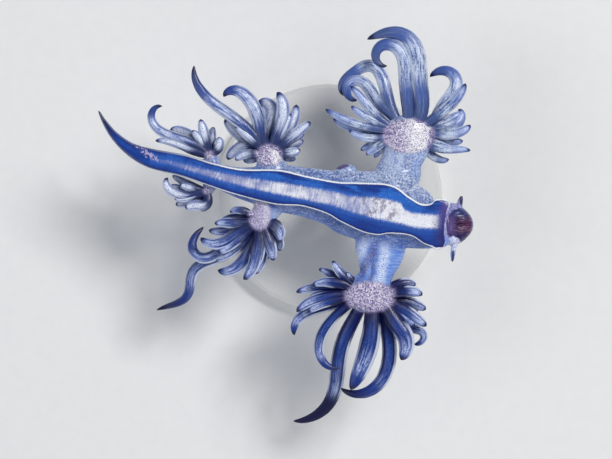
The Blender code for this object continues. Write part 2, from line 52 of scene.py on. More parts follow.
class Value:
    """One output of a node. Sums written with + - * / and abs add Math nodes to its tree."""

    def __init__(self, finish, socket):
        self.finish = finish
        self.socket = socket

    def math(self, operation, first, second):
        return self.finish.node("Math", {0: first, 1: second}, operation=operation)

    def __add__(self, other):
        return self.math("ADD", self, other)

    def __radd__(self, other):
        return self.math("ADD", other, self)

    def __sub__(self, other):
        return self.math("SUBTRACT", self, other)

    def __rsub__(self, other):
        return self.math("SUBTRACT", other, self)

    def __mul__(self, other):
        return self.math("MULTIPLY", self, other)

    def __rmul__(self, other):
        return self.math("MULTIPLY", other, self)

    def __truediv__(self, other):
        return self.math("DIVIDE", self, other)

    def __abs__(self):
        return self.finish.node("Math", {0: self}, operation="ABSOLUTE")

    def step(self, low, high, bottom=0.0, top=1.0):
        """From bottom to top, smoothly, as the value goes from low to high."""
        sockets = {0: self, 1: low, 2: high, 3: bottom, 4: top}
        return self.finish.node("MapRange", sockets, interpolation_type="SMOOTHSTEP")

    def over(self, share, *tone):
        """Lays a plain colour or another tone over this one, as far as share says."""
        self.socket = self.finish.mix(share, self, tone if len(tone) == 3 else tone[0]).socket


class Finish:
    """A material on one Principled shader, built node by node."""

    def __init__(self, name, **constants):
        self.material = bpy.data.materials.new(name)
        self.material.use_nodes = True
        self.tree = self.material.node_tree
        self.shader = self.tree.nodes["Principled BSDF"]
        for key, value in constants.items():
            self.shader.inputs[key.replace("_", " ")].default_value = value

    def node(self, kind, sockets, out=0, **settings):
        made = self.tree.nodes.new("ShaderNode" + kind)
        for key, value in settings.items():
            setattr(made, key, value)
        for key, value in sockets.items():
            if isinstance(value, Value):
                self.tree.links.new(value.socket, made.inputs[key])
            else:
                made.inputs[key].default_value = value
        return Value(self, made.outputs[out])

    def parts(self, vector):
        """The three numbers of a vector."""
        split = self.node("SeparateXYZ", {0: vector}).socket.node
        return [Value(self, output) for output in split.outputs]

    def mix(self, share, *tones):
        """From one tone to another as share grows, each a value or a plain colour."""
        first, second = [tone if isinstance(tone, Value) else colour(*tone) for tone in tones]
        return self.node("Mix", {0: share, 6: first, 7: second}, out=2, data_type="RGBA")

    def noise(self, vector, scale, detail=2.0, roughness=0.5):
        sockets = {"Vector": vector, "Scale": scale, "Detail": detail, "Roughness": roughness}
        return self.node("TexNoise", sockets)

    def cells(self, vector, scale, out=0):
        return self.node("TexVoronoi", {"Vector": vector, "Scale": scale}, out=out)

    def own(self, name, out=2):
        """The piece's own attribute: a number, or with out=1 a vector."""
        return self.node("Attribute", {}, out=out, attribute_name=name)

    def stretch(self, vector, x, y, z):
        return self.node("Mapping", {"Vector": vector, "Scale": (x, y, z)})

    def in_mm(self):
        place = self.node("TexCoord", {}, out=3)
        return self.stretch(place, 1 / MM, 1 / MM, 1 / MM)

    def bump(self, height, strength, reach, under=None):
        sockets = {"Height": height, "Strength": strength, "Distance": reach * MM}
        if under:
            sockets["Normal"] = under
        return self.node("Bump", sockets)

    def feed(self, **sockets):
        for key, value in sockets.items():
            self.tree.links.new(value.socket, self.shader.inputs[key.replace("_", " ")])


def colour(red, green, blue):
    """A colour as the eye sees it, 0 to 255, brought to the shader's even scale."""
    parts = [c / 255 for c in (red, green, blue)]
    even = [c / 12.92 if c <= 0.04045 else ((c + 0.055) / 1.055) ** 2.4 for c in parts]
    return (*even, 1.0)


def add_object(name, data):
    made = bpy.data.objects.new(name, data)
    bpy.context.scene.collection.objects.link(made)
    return made


def lamp(name, place, size, watts, tint=(1.0, 1.0, 1.0)):
    light = bpy.data.lights.new(name, "AREA")
    light.shape = "DISK"
    light.size = size * MM
    light.energy = watts
    light.color = tint
    made = add_object(name, light)
    made.location = [c * MM for c in place]
    aim = (-made.location).to_track_quat("-Z", "Y")
    made.rotation_euler = aim.to_euler()


floor_mesh = bpy.data.meshes.new("floor")
half = FLOOR_HALF * MM
corners = ((-half, -half, 0.0), (half, -half, 0.0), (half, half, 0.0), (-half, half, 0.0))
floor_mesh.from_pydata(corners, [], [(0, 1, 2, 3)])
floor = add_object("floor", floor_mesh)
paper = Finish("pale_paper", Roughness=0.9)
paper_grain = paper.noise(paper.in_mm(), 0.8, detail=4.0)
paper.feed(Base_Color=paper.mix(paper_grain, (228, 229, 230), (234, 235, 235)))
floor_mesh.materials.append(paper.material)

lamp("key_lamp", (170, 150, 330), 130, 1.08, (1.0, 0.98, 0.95))
lamp("fill_lamp", (-240, -60, 260), 240, 0.34, (0.95, 0.97, 1.0))
lamp("low_lamp", (40, -300, 120), 160, 0.22)

world = bpy.data.worlds.new("studio")
world.use_nodes = True
sky = world.node_tree.nodes["Background"].inputs
sky["Color"].default_value = (0.85, 0.90, 1.0, 1.0)
sky["Strength"].default_value = 0.21
bpy.context.scene.world = world
bpy.context.scene.view_settings.view_transform = "Standard"

camera_data = bpy.data.cameras.new("camera")
camera_data.sensor_width = SENSOR_WIDTH
camera_data.lens = SENSOR_WIDTH * CAMERA_ABOVE_SOLE / VIEW_WIDTH
camera_data.clip_start = 0.01
camera_data.clip_end = 5.0
camera = add_object("camera", camera_data)
camera.location = [c * MM for c in (*VIEW_MIDDLE, SOLE_HEIGHT + CAMERA_ABOVE_SOLE)]
bpy.context.scene.camera = camera

# The trunk, from the thread of the tail to the neck: a long muscular foot with a thin edge
# that stands proud of the soft flanks, and a round back below, which hangs down here.
RIM_THICKNESS = 0.42
SOLE_CROWN = 0.05
RIM_INSET = 0.26
TRUNK_STEPS = 16
RIM_POINTS = 7
FLANK_STEPS = 5

# The middle of the sole, its half width, the flanks' half width to the right and to the
# left, and the depth from the sole to the back, from the tip of the tail to the neck
TRUNK = np.array((
    # x, y, z, sole, right, left, depth
    (-23.25, 8.60, -1.10, 0.10, 0.10, 0.10, 0.25),
    (-22.60, 7.40, -0.85, 0.24, 0.26, 0.26, 0.60),
    (-21.60, 6.05, -0.60, 0.42, 0.44, 0.44, 0.95),
    (-20.00, 4.70, -0.32, 0.66, 0.68, 0.68, 1.35),
    (-17.80, 3.75, -0.10, 1.00, 0.98, 0.98, 1.85),
    (-14.60, 3.05, 0.00, 1.12, 1.10, 1.05, 2.30),
    (-12.00, 2.20, 0.00, 1.18, 1.20, 1.05, 2.65),
    (-9.00, 1.40, 0.00, 1.36, 1.50, 1.60, 3.00),
    (-5.30, 0.90, 0.00, 1.77, 2.25, 2.35, 3.40),
    (-2.60, 0.50, 0.00, 1.56, 2.35, 2.50, 3.60),
    (0.10, -0.15, 0.00, 1.70, 2.75, 2.70, 3.90),
    (1.80, -0.65, 0.00, 2.12, 3.25, 3.20, 4.10),
    (4.10, -1.20, 0.00, 2.58, 3.75, 3.35, 4.30),
    (5.70, -1.40, 0.00, 2.56, 3.70, 3.25, 4.20),
    (7.10, -1.85, 0.00, 2.05, 3.45, 3.20, 3.90),
    (8.70, -2.40, 0.00, 1.73, 3.10, 2.90, 3.55),
    (10.00, -2.75, 0.00, 2.20, 2.55, 2.55, 3.30),
    (10.95, -2.75, 0.00, 2.50, 2.25, 2.25, 3.20),
    (11.70, -2.70, -0.02, 2.15, 2.00, 2.00, 3.05),
))


def smooth_rows(rows, places):
    """Sizes at any places along rows of sizes, on a smooth curve through the rows."""
    rows = np.asarray(rows, float)
    last = len(rows) - 1
    index = np.clip(np.floor(places).astype(int), 0, last - 1)
    part = (places - index)[:, None]
    start = rows[index]
    end = rows[index + 1]
    slope_in = (end - rows[np.maximum(index - 1, 0)]) / 2
    slope_out = (rows[np.minimum(index + 2, last)] - start) / 2
    bend = 2 * (start - end) + slope_in + slope_out
    sag = 3 * (end - start) - 2 * slope_in - slope_out
    return start + part * (slope_in + part * (sag + part * bend))


def between(rows, steps):
    """Places along rows of sizes, so many to each stretch from one row to the next."""
    return np.linspace(0, len(rows) - 1, (len(rows) - 1) * steps + 1)


def unit(vectors):
    return vectors / np.linalg.norm(vectors, axis=-1, keepdims=True)


def headings(points):
    return unit(np.gradient(points, axis=0))


def trunk_half(sole, side, depth):
    """Half of a cross section: the flat sole, its round rim, the flank and the back."""
    rim = min(RIM_THICKNESS, 0.3 * depth, 0.9 * sole) / 2
    turn = np.radians(np.linspace(90, -90, RIM_POINTS))
    flat = [(share * (sole - rim), SOLE_CROWN * share) for share in (0.0, 0.3, 0.6, 0.85)]
    edge = np.column_stack((sole - rim + rim * np.cos(turn), SOLE_CROWN - rim + rim * np.sin(turn)))
    inset = sole - min(RIM_INSET, 0.35 * sole)
    flank = (
        (inset, -2.2 * rim),
        (0.97 * side, -0.32 * depth),
        (side, -0.50 * depth),
        (0.86 * side, -0.74 * depth),
        (0.50 * side, -0.93 * depth),
        (0.0, -depth),
    )
    return np.vstack((flat, edge, smooth_rows(flank, between(flank, FLANK_STEPS))))


def trunk_rings():
    rows = smooth_rows(TRUNK, between(TRUNK, TRUNK_STEPS))
    ahead = headings(rows[:, :2])
    rings = []
    for row, heading in zip(rows, ahead):
        right = trunk_half(row[3], row[4], row[6])
        left = trunk_half(row[3], row[5], row[6])[-2:0:-1] * (-1, 1)
        outline = np.vstack((right, left))
        across = np.array((-heading[1], heading[0], 0.0))
        rings.append(row[:3] + outline[:, :1] * across + outline[:, 1:] * (0, 0, 1))
    return np.array(rings)


def add_loft(shape, rings):
    """Adds a closed skin over rings of points to a mesh that is being built."""
    rows = [[shape.verts.new(point) for point in ring] for ring in rings]
    faces = [shape.faces.new(reversed(rows[0])), shape.faces.new(rows[-1])]
    for low, high in zip(rows, rows[1:]):
        for side in range(len(low)):
            corners = (low[side - 1], low[side], high[side], high[side - 1])
            faces.append(shape.faces.new(corners))
    bmesh.ops.recalc_face_normals(shape, faces=faces)


flesh = bmesh.new()
add_loft(flesh, trunk_rings())

# The arms: six soft stalks, two long ones by the head and four short ones behind, each
# ending in a rounded hub that the cerata grow from. They grow out of the flanks.
ARM_SIDES = 40
LIMB_STEPS = 10
BALL_SIDES = 32
PAPILLA = ((1.65, 2.45, -1.30), (1.15, 0.80, 0.70))

ARMS = {
    # x, y, z, half width, half thickness
    "front_right": (
        (6.0, 0.2, -1.9, 2.45, 1.50), (6.9, 2.3, -1.9, 2.30, 1.40), (7.1, 3.0, -1.85, 2.15, 1.25),
        (7.3, 3.7, -1.8, 2.05, 1.15), (7.6, 4.6, -1.75, 2.25, 1.05), (7.8, 5.6, -1.75, 2.50, 1.05),
        (7.9, 6.6, -1.75, 2.50, 1.00), (7.95, 7.5, -1.75, 2.00, 0.85), (7.95, 8.2, -1.75, 0.70, 0.45),
    ),
    "front_left": (
        (5.2, -2.6, -1.9, 2.50, 1.50), (5.1, -5.1, -1.9, 2.55, 1.40), (4.9, -6.6, -1.8, 2.20, 1.20),
        (4.6, -8.1, -1.75, 1.65, 1.05), (4.15, -9.2, -1.75, 2.25, 1.05),
        (3.95, -10.1, -1.75, 2.52, 1.05), (3.75, -11.1, -1.75, 2.05, 0.90),
        (3.65, -11.75, -1.75, 0.70, 0.45),
    ),
    "middle_right": (
        (-5.6, 1.6, -1.6, 1.75, 1.10), (-5.9, 2.9, -1.6, 1.65, 1.00), (-6.0, 3.45, -1.6, 1.40, 0.90),
        (-6.1, 4.1, -1.6, 1.35, 0.85), (-6.15, 4.7, -1.6, 1.10, 0.75),
        (-6.15, 5.15, -1.6, 0.45, 0.40),
    ),
    "middle_left": (
        (-5.9, 0.0, -1.6, 1.70, 1.10), (-6.3, -1.2, -1.6, 1.50, 1.00),
        (-6.7, -1.85, -1.6, 1.25, 0.90), (-7.0, -2.55, -1.6, 1.15, 0.85),
        (-7.15, -3.15, -1.6, 0.95, 0.75), (-7.2, -3.6, -1.6, 0.40, 0.40),
    ),
    "rear_right": (
        (-11.5, 2.2, -1.3, 0.90, 0.80), (-11.8, 3.3, -1.3, 0.80, 0.72),
        (-11.95, 3.85, -1.3, 0.70, 0.62), (-12.1, 4.25, -1.3, 0.64, 0.55),
        (-12.2, 4.6, -1.3, 0.35, 0.35),
    ),
    "rear_left": (
        (-11.8, 2.0, -1.3, 0.85, 0.80), (-12.0, 1.3, -1.3, 0.75, 0.70),
        (-12.15, 0.85, -1.3, 0.65, 0.58), (-12.4, 0.5, -1.3, 0.60, 0.52),
        (-12.55, 0.15, -1.3, 0.35, 0.35),
    ),
}


def crosswise(ahead):
    """Level vectors across each heading, and vectors square to both that point up."""
    across = unit(np.cross((0.0, 0.0, 1.0), ahead))
    return across, unit(np.cross(ahead, across))


def limb_rings(rows, sides):
    rows = smooth_rows(rows, between(rows, LIMB_STEPS))
    across, up = crosswise(headings(rows[:, :3]))
    turn = np.linspace(0, 2 * math.pi, sides, endpoint=False)
    wide = np.cos(turn)[None, :, None] * rows[:, 3][:, None, None]
    high = np.sin(turn)[None, :, None] * rows[:, 4][:, None, None]
    return rows[:, None, :3] + across[:, None, :] * wide + up[:, None, :] * high


def add_ball(shape, centre, radii):
    ball = bmesh.ops.create_uvsphere(
        shape, u_segments=BALL_SIDES, v_segments=BALL_SIDES // 2, radius=1.0)
    for vertex in ball["verts"]:
        vertex.co = [centre[axis] + radii[axis] * vertex.co[axis] for axis in range(3)]


for rows in ARMS.values():
    add_loft(flesh, limb_rings(rows, ARM_SIDES))
add_ball(flesh, *PAPILLA)

# The head: a blunt round snout that bends up to the sole's level, with the mouth a slit
# between two lips on top of it, a feeler to each side and two more on the back below.
HEAD_MIDDLE_Y = -2.85
HEAD_SIDES = 48
HEAD_STEPS = 10
FEELER_SIDES = 20
HEAD = (
    # x, half width, top, bottom
    (11.20, 2.00, -0.45, -2.90),
    (12.00, 2.10, -0.25, -2.95),
    (12.35, 2.20, -0.15, -3.05),
    (12.90, 2.00, -0.12, -3.00),
    (13.50, 1.60, -0.20, -2.80),
    (13.98, 1.12, -0.42, -2.45),
    (14.30, 0.66, -0.80, -2.05),
    (14.42, 0.30, -1.15, -1.70),
)
FEELERS = (
    # x, y, z, half width, half thickness
    ((12.95, -1.60, -1.35, 0.34, 0.34), (13.05, -0.80, -1.30, 0.30, 0.30),
     (13.15, -0.35, -1.25, 0.27, 0.27), (13.28, 0.05, -1.20, 0.12, 0.12)),
    ((12.75, -4.00, -1.35, 0.40, 0.36), (12.50, -5.05, -1.30, 0.31, 0.30),
     (12.36, -5.80, -1.30, 0.27, 0.27), (12.30, -6.65, -1.25, 0.12, 0.12)),
    ((12.95, -2.10, -2.35, 0.34, 0.34), (12.90, -1.80, -2.95, 0.29, 0.29),
     (12.80, -1.50, -3.50, 0.27, 0.27), (12.65, -1.25, -4.00, 0.12, 0.12)),
    ((12.95, -3.60, -2.35, 0.34, 0.34), (12.90, -3.90, -2.95, 0.29, 0.29),
     (12.80, -4.20, -3.50, 0.27, 0.27), (12.65, -4.45, -4.00, 0.12, 0.12)),
)
LOBES = (
    # the middle and the three radii of the soft lobe below each oral feeler, and of the
    # sole's two front corners
    ((12.55, -1.35, -0.75), (0.62, 0.42, 0.45)),
    ((12.35, -4.35, -0.75), (0.75, 0.42, 0.45)),
    ((11.30, -1.15, -0.20), (0.82, 0.92, 0.25)),
    ((10.75, -4.60, -0.20), (0.85, 0.78, 0.25)),
)


def head_rings():
    rows = smooth_rows(HEAD, between(HEAD, HEAD_STEPS))
    turn = np.linspace(0, 2 * math.pi, HEAD_SIDES, endpoint=False)
    rings = []
    for x, half_width, top, bottom in rows:
        y = HEAD_MIDDLE_Y + half_width * np.cos(turn)
        z = (top + bottom) / 2 + (top - bottom) / 2 * np.sin(turn)
        rings.append(np.column_stack((np.full(HEAD_SIDES, x), y, z)))
    return rings


add_loft(flesh, head_rings())
for rows in FEELERS:
    add_loft(flesh, limb_rings(rows, FEELER_SIDES))
for centre, radii in LOBES:
    add_ball(flesh, centre, radii)

# The skin: one unbroken soft skin over trunk, arms, hubs, head and feelers. It is grown
# over the joined forms, eased where they meet, and then folded and creased at the mouth.
SKIN_GRAIN = 0.104
SKIN_EASE = 5
FINE_HEAD_FROM = 12.1
HEAD_EASE = 2
MOUTH_X = 13.45
LIP_LENGTH = 0.78
LIP_WIDTH = 0.42
LIP_HEIGHT = 0.13
SLIT_REACH = 1.15
SLIT_WIDTH = 0.09
SLIT_DEPTH = 0.30
FOLD_HEIGHT = 0.035
FOLD_SPACING = 0.30


def baked(made):
    """The mesh that an object's modifiers make of it. The object is removed."""
    evaluated = made.evaluated_get(bpy.context.evaluated_depsgraph_get())
    mesh = bpy.data.meshes.new_from_object(evaluated)
    bpy.data.objects.remove(made)
    return mesh


flesh_mesh = bpy.data.meshes.new("flesh")
flesh.to_mesh(flesh_mesh)
flesh.free()
flesh_form = add_object("flesh", flesh_mesh)
remesh = flesh_form.modifiers.new("grow", "REMESH")
remesh.mode = "VOXEL"
remesh.voxel_size = SKIN_GRAIN
ease = flesh_form.modifiers.new("ease", "SMOOTH")
ease.factor = 0.5
ease.iterations = SKIN_EASE
skin_mesh = baked(flesh_form)
skin_mesh.name = "skin"

shape = bmesh.new()
shape.from_mesh(skin_mesh)
head_edges = [e for e in shape.edges if min(v.co.x for v in e.verts) > FINE_HEAD_FROM]
bmesh.ops.subdivide_edges(shape, edges=head_edges, cuts=1, use_grid_fill=True)
head_points = [v for v in shape.verts if v.co.x > FINE_HEAD_FROM]
for turn in range(HEAD_EASE):
    bmesh.ops.smooth_vert(
        shape, verts=head_points, factor=0.5, use_axis_x=True, use_axis_y=True, use_axis_z=True)
shape.to_mesh(skin_mesh)
shape.free()


def vectors_of(items, key):
    """One vector for each item, in rows of three."""
    vectors = np.empty(len(items) * 3, np.float32)
    items.foreach_get(key, vectors)
    return vectors.reshape(-1, 3).astype(float)


def set_points(mesh, points):
    mesh.vertices.foreach_set("co", points.astype(np.float32).ravel())
    mesh.update()


def smooth_step(value, low, high):
    share = np.clip((value - low) / (high - low), 0, 1)
    return share * share * (3 - 2 * share)


def store(mesh, name, values):
    """Keeps a number or a vector at each point, for the material to read."""
    kind = "FLOAT" if values.ndim == 1 else "FLOAT_VECTOR"
    key = "value" if values.ndim == 1 else "vector"
    made = mesh.attributes.new(name, kind, "POINT")
    made.data.foreach_set(key, values.astype(np.float32).ravel())


class Line:
    """A long form's middle line seen from above, for places along it and across it."""

    STEPS = 40
    POINTS_AT_ONCE = 20000

    def __init__(self, rows):
        self.rows = smooth_rows(rows, np.linspace(0, len(rows) - 1, len(rows) * self.STEPS))
        self.plan = self.rows[:, :2]
        self.ahead = headings(self.plan)
        steps = np.linalg.norm(np.diff(self.plan, axis=0), axis=1)
        self.reach = np.concatenate(((0.0,), np.cumsum(steps)))

    def place(self, points):
        """For each point: how far along the line, how far to its left, and the row there."""
        plan = points[:, :2]
        nearest = np.empty(len(plan), int)
        for first in range(0, len(plan), self.POINTS_AT_ONCE):
            part = slice(first, first + self.POINTS_AT_ONCE)
            gap_x = plan[part, :1] - self.plan[:, 0]
            gap_y = plan[part, 1:] - self.plan[:, 1]
            nearest[part] = (gap_x ** 2 + gap_y ** 2).argmin(axis=1)
        offset = plan - self.plan[nearest]
        ahead = self.ahead[nearest]
        along = self.reach[nearest] + (offset * ahead).sum(axis=1)
        across = ahead[:, 0] * offset[:, 1] - ahead[:, 1] * offset[:, 0]
        return along, across, self.rows[nearest]


points = vectors_of(skin_mesh.vertices, "co")
normals = vectors_of(skin_mesh.vertex_normals, "vector")

# The mouth's slit, the lips round it, and fine folds beside them that run the same way
mouth_x = points[:, 0] - MOUTH_X
mouth_y = points[:, 1] - HEAD_MIDDLE_Y
on_top = smooth_step(normals[:, 2], 0.1, 0.5) * smooth_step(points[:, 0], 12.2, 12.5)
ring = np.hypot(mouth_x / LIP_LENGTH, mouth_y / LIP_WIDTH)
lips = LIP_HEIGHT * np.exp(-((ring - 1.0) / 0.28) ** 2)
slit = np.exp(-(mouth_y / SLIT_WIDTH) ** 2) * smooth_step(SLIT_REACH - np.abs(mouth_x), 0.0, 0.35)
folds = FOLD_HEIGHT * np.sin(mouth_y * 2 * math.pi / FOLD_SPACING)
folds = folds * smooth_step(ring, 1.1, 1.5) * smooth_step(2.6 - ring, 0.0, 1.0)
points += normals * (on_top * (lips - SLIT_DEPTH * slit + folds))[:, None]
set_points(skin_mesh, points)

# What the markings follow: the trunk's length and width, the sole's edge, the silver band,
# the arms, the hubs and the front edge of the sole, each kept at every point of the skin
BAND = np.array((
    # the silver band: x, its edge to the right, its edge to the left, brightness
    (-17.60, 3.70, 3.58, 0.24),
    (-16.00, 3.55, 3.15, 0.26),
    (-13.30, 2.90, 2.28, 0.32),
    (-10.60, 2.28, 1.45, 0.36),
    (-7.90, 1.80, 0.78, 0.42),
    (-5.30, 1.40, 0.20, 0.70),
    (-2.60, 0.98, -0.34, 0.56),
    (0.10, 0.52, -0.92, 0.50),
    (2.00, 0.05, -1.56, 0.42),
    (3.00, -0.05, -1.85, 0.48),
    (4.50, -0.10, -2.25, 0.66),
    (5.50, -0.30, -2.45, 0.86),
    (6.50, -0.50, -2.65, 0.98),
    (7.10, -0.70, -2.78, 1.00),
    (7.45, -1.35, -2.90, 0.92),
    (8.20, -1.65, -3.10, 0.78),
    (9.50, -1.80, -3.25, 0.84),
    (11.10, -1.90, -3.30, 0.80),
))
HUBS = (
    # x, y, half length, half width, how far its painted highlight reaches from +X
    (7.90, 6.05, 2.80, 1.85, 0.60),
    (4.05, -10.10, 2.75, 1.65, -0.35),
    (-6.15, 4.10, 1.55, 1.20, 0.30),
    (-7.06, -1.95, 1.25, 1.60, 0.20),
    (-12.10, 4.10, 0.60, 0.50, 0.00),
    (-12.30, 0.60, 0.55, 0.45, 0.00),
)
# Where points start, before a hub or arm is found nearer, and the arms' distance in the noise
OUTSIDE = -9.0
FAR = 99.0
ARM_APART = 3.0
EDGE_DROOP = 1.6
EDGE_DROOP_FROM = 0.10
SOLE_FRONT = 11.45
SOLE_FRONT_Y = -2.9
SOLE_FRONT_BOW = 0.09
SOLE_FRONT_SLANT = 0.10
BAND_END_Y = -2.5
CORNER_RADIUS = 0.6
SOLE_CORNERS = (
    # x, y, radius
    (11.15, -1.17, 0.95),
    (10.70, -4.56, 0.73),
)


def hub_places(points):
    """For each point: how far inside the nearest hub it lies, and how far toward its painted
    highlight.
    """
    hub = np.full(len(points), OUTSIDE)
    highlight_reach = np.full(len(points), OUTSIDE)
    for x, y, half_x, half_y, lit in HUBS:
        inside = 1.0 - np.hypot((points[:, 0] - x) / half_x, (points[:, 1] - y) / half_y)
        inside *= min(half_x, half_y)
        nearer = inside > hub
        hub[nearer] = inside[nearer]
        highlight_reach[nearer] = ((points[:, 0] - x) / half_x + lit)[nearer]
    return hub, highlight_reach


along, across, rows = Line(TRUNK).place(points)
below = rows[:, 2] - points[:, 2]
aside = points[:, 1] - SOLE_FRONT_Y
bow = SOLE_FRONT_BOW * aside ** 2 + SOLE_FRONT_SLANT * aside
ahead_of_sole = points[:, 0] - (SOLE_FRONT + bow)
droop = EDGE_DROOP * np.maximum(0.0, below - EDGE_DROOP_FROM)
margin = rows[:, 3] - np.abs(across) - droop
for corner_x, corner_y, radius in SOLE_CORNERS:
    inside = radius - np.hypot(points[:, 0] - corner_x, points[:, 1] - corner_y)
    margin = np.maximum(margin, inside - droop)
corner = np.hypot(np.maximum(CORNER_RADIUS - margin, 0), np.maximum(CORNER_RADIUS + ahead_of_sole, 0))
margin = np.minimum(np.minimum(margin, -ahead_of_sole), CORNER_RADIUS - corner)
flank = np.where(across > 0, rows[:, 4], rows[:, 5])
band_right, band_left, brightness = [np.interp(points[:, 0], BAND[:, 0], size) for size in BAND.T[1:]]
band = np.minimum(band_right - points[:, 1], points[:, 1] - band_left)
band_end = 0.45 * (BAND[-1, 0] - points[:, 0]) - 0.12 * np.abs(points[:, 1] - BAND_END_Y)
band = np.minimum(band, np.minimum(band_end, points[:, 0] - BAND[0, 0]))
hub, highlight_reach = hub_places(points)
arm_lie = np.zeros((len(points), 3))
arm_gap = np.full(len(points), FAR)
for index, limb in enumerate(ARMS.values()):
    reach, offset, limb_row = Line(limb).place(points)
    gap = np.abs(offset) - limb_row[:, 3]
    nearer = gap < arm_gap
    arm_gap[nearer] = gap[nearer]
    apart = np.full(len(points), index * ARM_APART)
    arm_lie[nearer] = np.column_stack((reach, offset, apart))[nearer]
marks = {
    "lie": np.column_stack((along, across, below)), "arm_lie": arm_lie, "margin": margin,
    "band": band, "silver": brightness, "hub": hub, "highlight_reach": highlight_reach,
    "out": np.abs(across) - flank, "ahead": ahead_of_sole, "sunk": below / rows[:, 6],
}
for key, values in marks.items():
    store(skin_mesh, key, values)

skin = Finish("slug_skin", Coat_Weight=0.3, Coat_Roughness=0.15, IOR=1.38)
place = skin.in_mm()
lie = skin.own("lie", out=1)
arm_lie_at = skin.own("arm_lie", out=1)
spot_x, spot_y = skin.parts(place)[:2]
lie_along, lie_across = skin.parts(lie)[:2]
arm_across = skin.parts(arm_lie_at)[1]
margin_at = skin.own("margin")
ahead_at = skin.own("ahead")
out_at = skin.own("out")
band_at = skin.own("band")

cloud = skin.noise(place, 1.1, detail=3.0)
patches = skin.noise(place, 0.45)
fine_cloud = skin.noise(place, 4.8, detail=3.0, roughness=0.65)
pepper = skin.noise(place, 9.0, roughness=0.7)
cross_streaks = skin.noise(skin.stretch(lie, 5.0, 0.8, 0.9), 1.0, detail=4.0, roughness=0.7)
long_streaks = skin.noise(skin.stretch(lie, 0.35, 2.4, 1.0), 1.0, detail=3.0, roughness=0.6)
wrinkles = skin.noise(skin.stretch(arm_lie_at, 6.0, 0.7, 1.0), 1.0, roughness=0.6)
drift = cloud - 0.5
jitter = fine_cloud - 0.5
specks = pepper - 0.5
comb = cross_streaks - 0.5

# The flanks: silver blue, with white flecks that are partly the skin's own silver and partly painted
# small highlights, a painted sunlit patch on the animal's right, and fine dark pepper all over
flank_tone = skin.mix(cloud.step(0.35, 0.65), (88, 116, 178), (146, 168, 214))
# White flecks: partly the skin's silver, partly painted small highlights
flank_tone.over(fine_cloud.step(0.48, 0.66) * 0.8, 214, 224, 242)
# Painted light: a paler patch along the flank on the animal's right, where the lamp falls
painted_sunlight = lie_across.step(1.6, 3.4) * fine_cloud.step(0.36, 0.56)
flank_tone.over(painted_sunlight * 0.6, 222, 232, 246)
flank_tone.over(pepper.step(0.50, 0.60) * 0.75, 48, 60, 128)
flank_tone.over(lie_across.step(-0.5, -1.5) * 0.5, 38, 72, 148)

# The arms: smoother and bluer, with fine wrinkles across, a dark grainy streak and a painted grainy
# highlight along one side
arm_tone = skin.mix(wrinkles.step(0.35, 0.7), (88, 128, 212), (150, 178, 234))
streak = abs(arm_across + 0.60 + drift * 0.5).step(0.70, 0.10)
streak *= (pepper + (wrinkles - 0.5) * 0.4).step(0.40, 0.56, 0.1, 1.0)
arm_tone.over(streak * 0.85, 72, 66, 122)
# Painted highlight: a grainy white shine along one side of each arm
painted_shine = abs(arm_across - 0.45 + drift * 0.4).step(0.8, 0.1)
arm_tone.over(painted_shine * pepper.step(0.36, 0.58) * 0.85, 228, 238, 252)
arm_share = out_at.step(-0.5, 1.0) * lie_across.step(2.6, 1.6, 0.35, 1.0)
body_tone = skin.mix(arm_share, flank_tone, arm_tone)

# The hubs: a glittering grain of pinkish silver on purple, with a painted white highlight on their
# lit side
grain = skin.cells(place, 8.0)
grain_tint = skin.node("SeparateColor", {0: skin.cells(place, 8.0, out=1)})
hub_tone = skin.mix(grain_tint.step(0.1, 0.8), (124, 112, 166), (226, 220, 240))
hub_tone.over(pepper.step(0.50, 0.62) * 0.7, 70, 58, 112)
# Painted highlight: white grain on each hub's +X side, toward the key lamp
hub_highlight = (skin.own("highlight_reach") + jitter * 0.8).step(0.25, 0.9)
hub_tone.over(hub_highlight * pepper.step(0.60, 0.46), 250, 250, 255)
soft_hub = spot_x.step(-5.5, -6.0) * spot_y.step(-0.8, -1.2)
hub_tone.over(soft_hub * 0.5, 176, 170, 206)
hub_share = (skin.own("hub") + specks * 0.9).step(-0.12, 0.30)
body_tone.over(hub_share, hub_tone)

# A dark purple mark on the papilla behind the right arm
mark_x = abs(spot_x - 1.25) / 0.75
mark_y = abs(spot_y - 3.0 - (spot_x - 1.25) * 0.25) / 0.30
mark = (mark_x * mark_x + mark_y * mark_y + jitter * 0.8).step(1.1, 0.6)
body_tone.over(mark * 0.85, 70, 44, 104)

# The back, below: pearly silver grey, bluer towards the flanks
back_tone = skin.mix(cloud.step(0.3, 0.7), (150, 158, 184), (206, 210, 224))
back_tone.over(pepper.step(0.5, 0.66) * 0.4, 96, 104, 150)
body_tone.over((skin.own("sunk") + drift * 0.2).step(0.45, 0.8), back_tone)

# The sole: royal blue, azure in patches to the animal's right, darker to its left and edge
sole_tone = skin.mix(long_streaks.step(0.3, 0.7), (3, 46, 130), (8, 70, 164))
sole_tone.over(cross_streaks.step(0.50, 0.70) * 0.45, 5, 38, 120)
halo = (band_at + comb * 1.2).step(-0.75, 0.05)
sole_tone.over(halo * 0.45, 60, 114, 206)
azure = lie_across.step(-0.2, 1.4) * (patches + (long_streaks - 0.5) * 0.7).step(0.38, 0.62)
sole_tone.over(azure * 0.8, 34, 104, 200)
sole_tone.over(azure * fine_cloud.step(0.52, 0.70) * 0.5, 104, 156, 232)
sole_tone.over((margin_at + drift * 0.3).step(0.5, 0.05), 12, 30, 104)
front_band = (ahead_at + jitter * 1.2).step(-1.5, -0.1)
front_tone = skin.mix(spot_y.step(-3.9, -1.2), (36, 34, 104), (84, 68, 138))

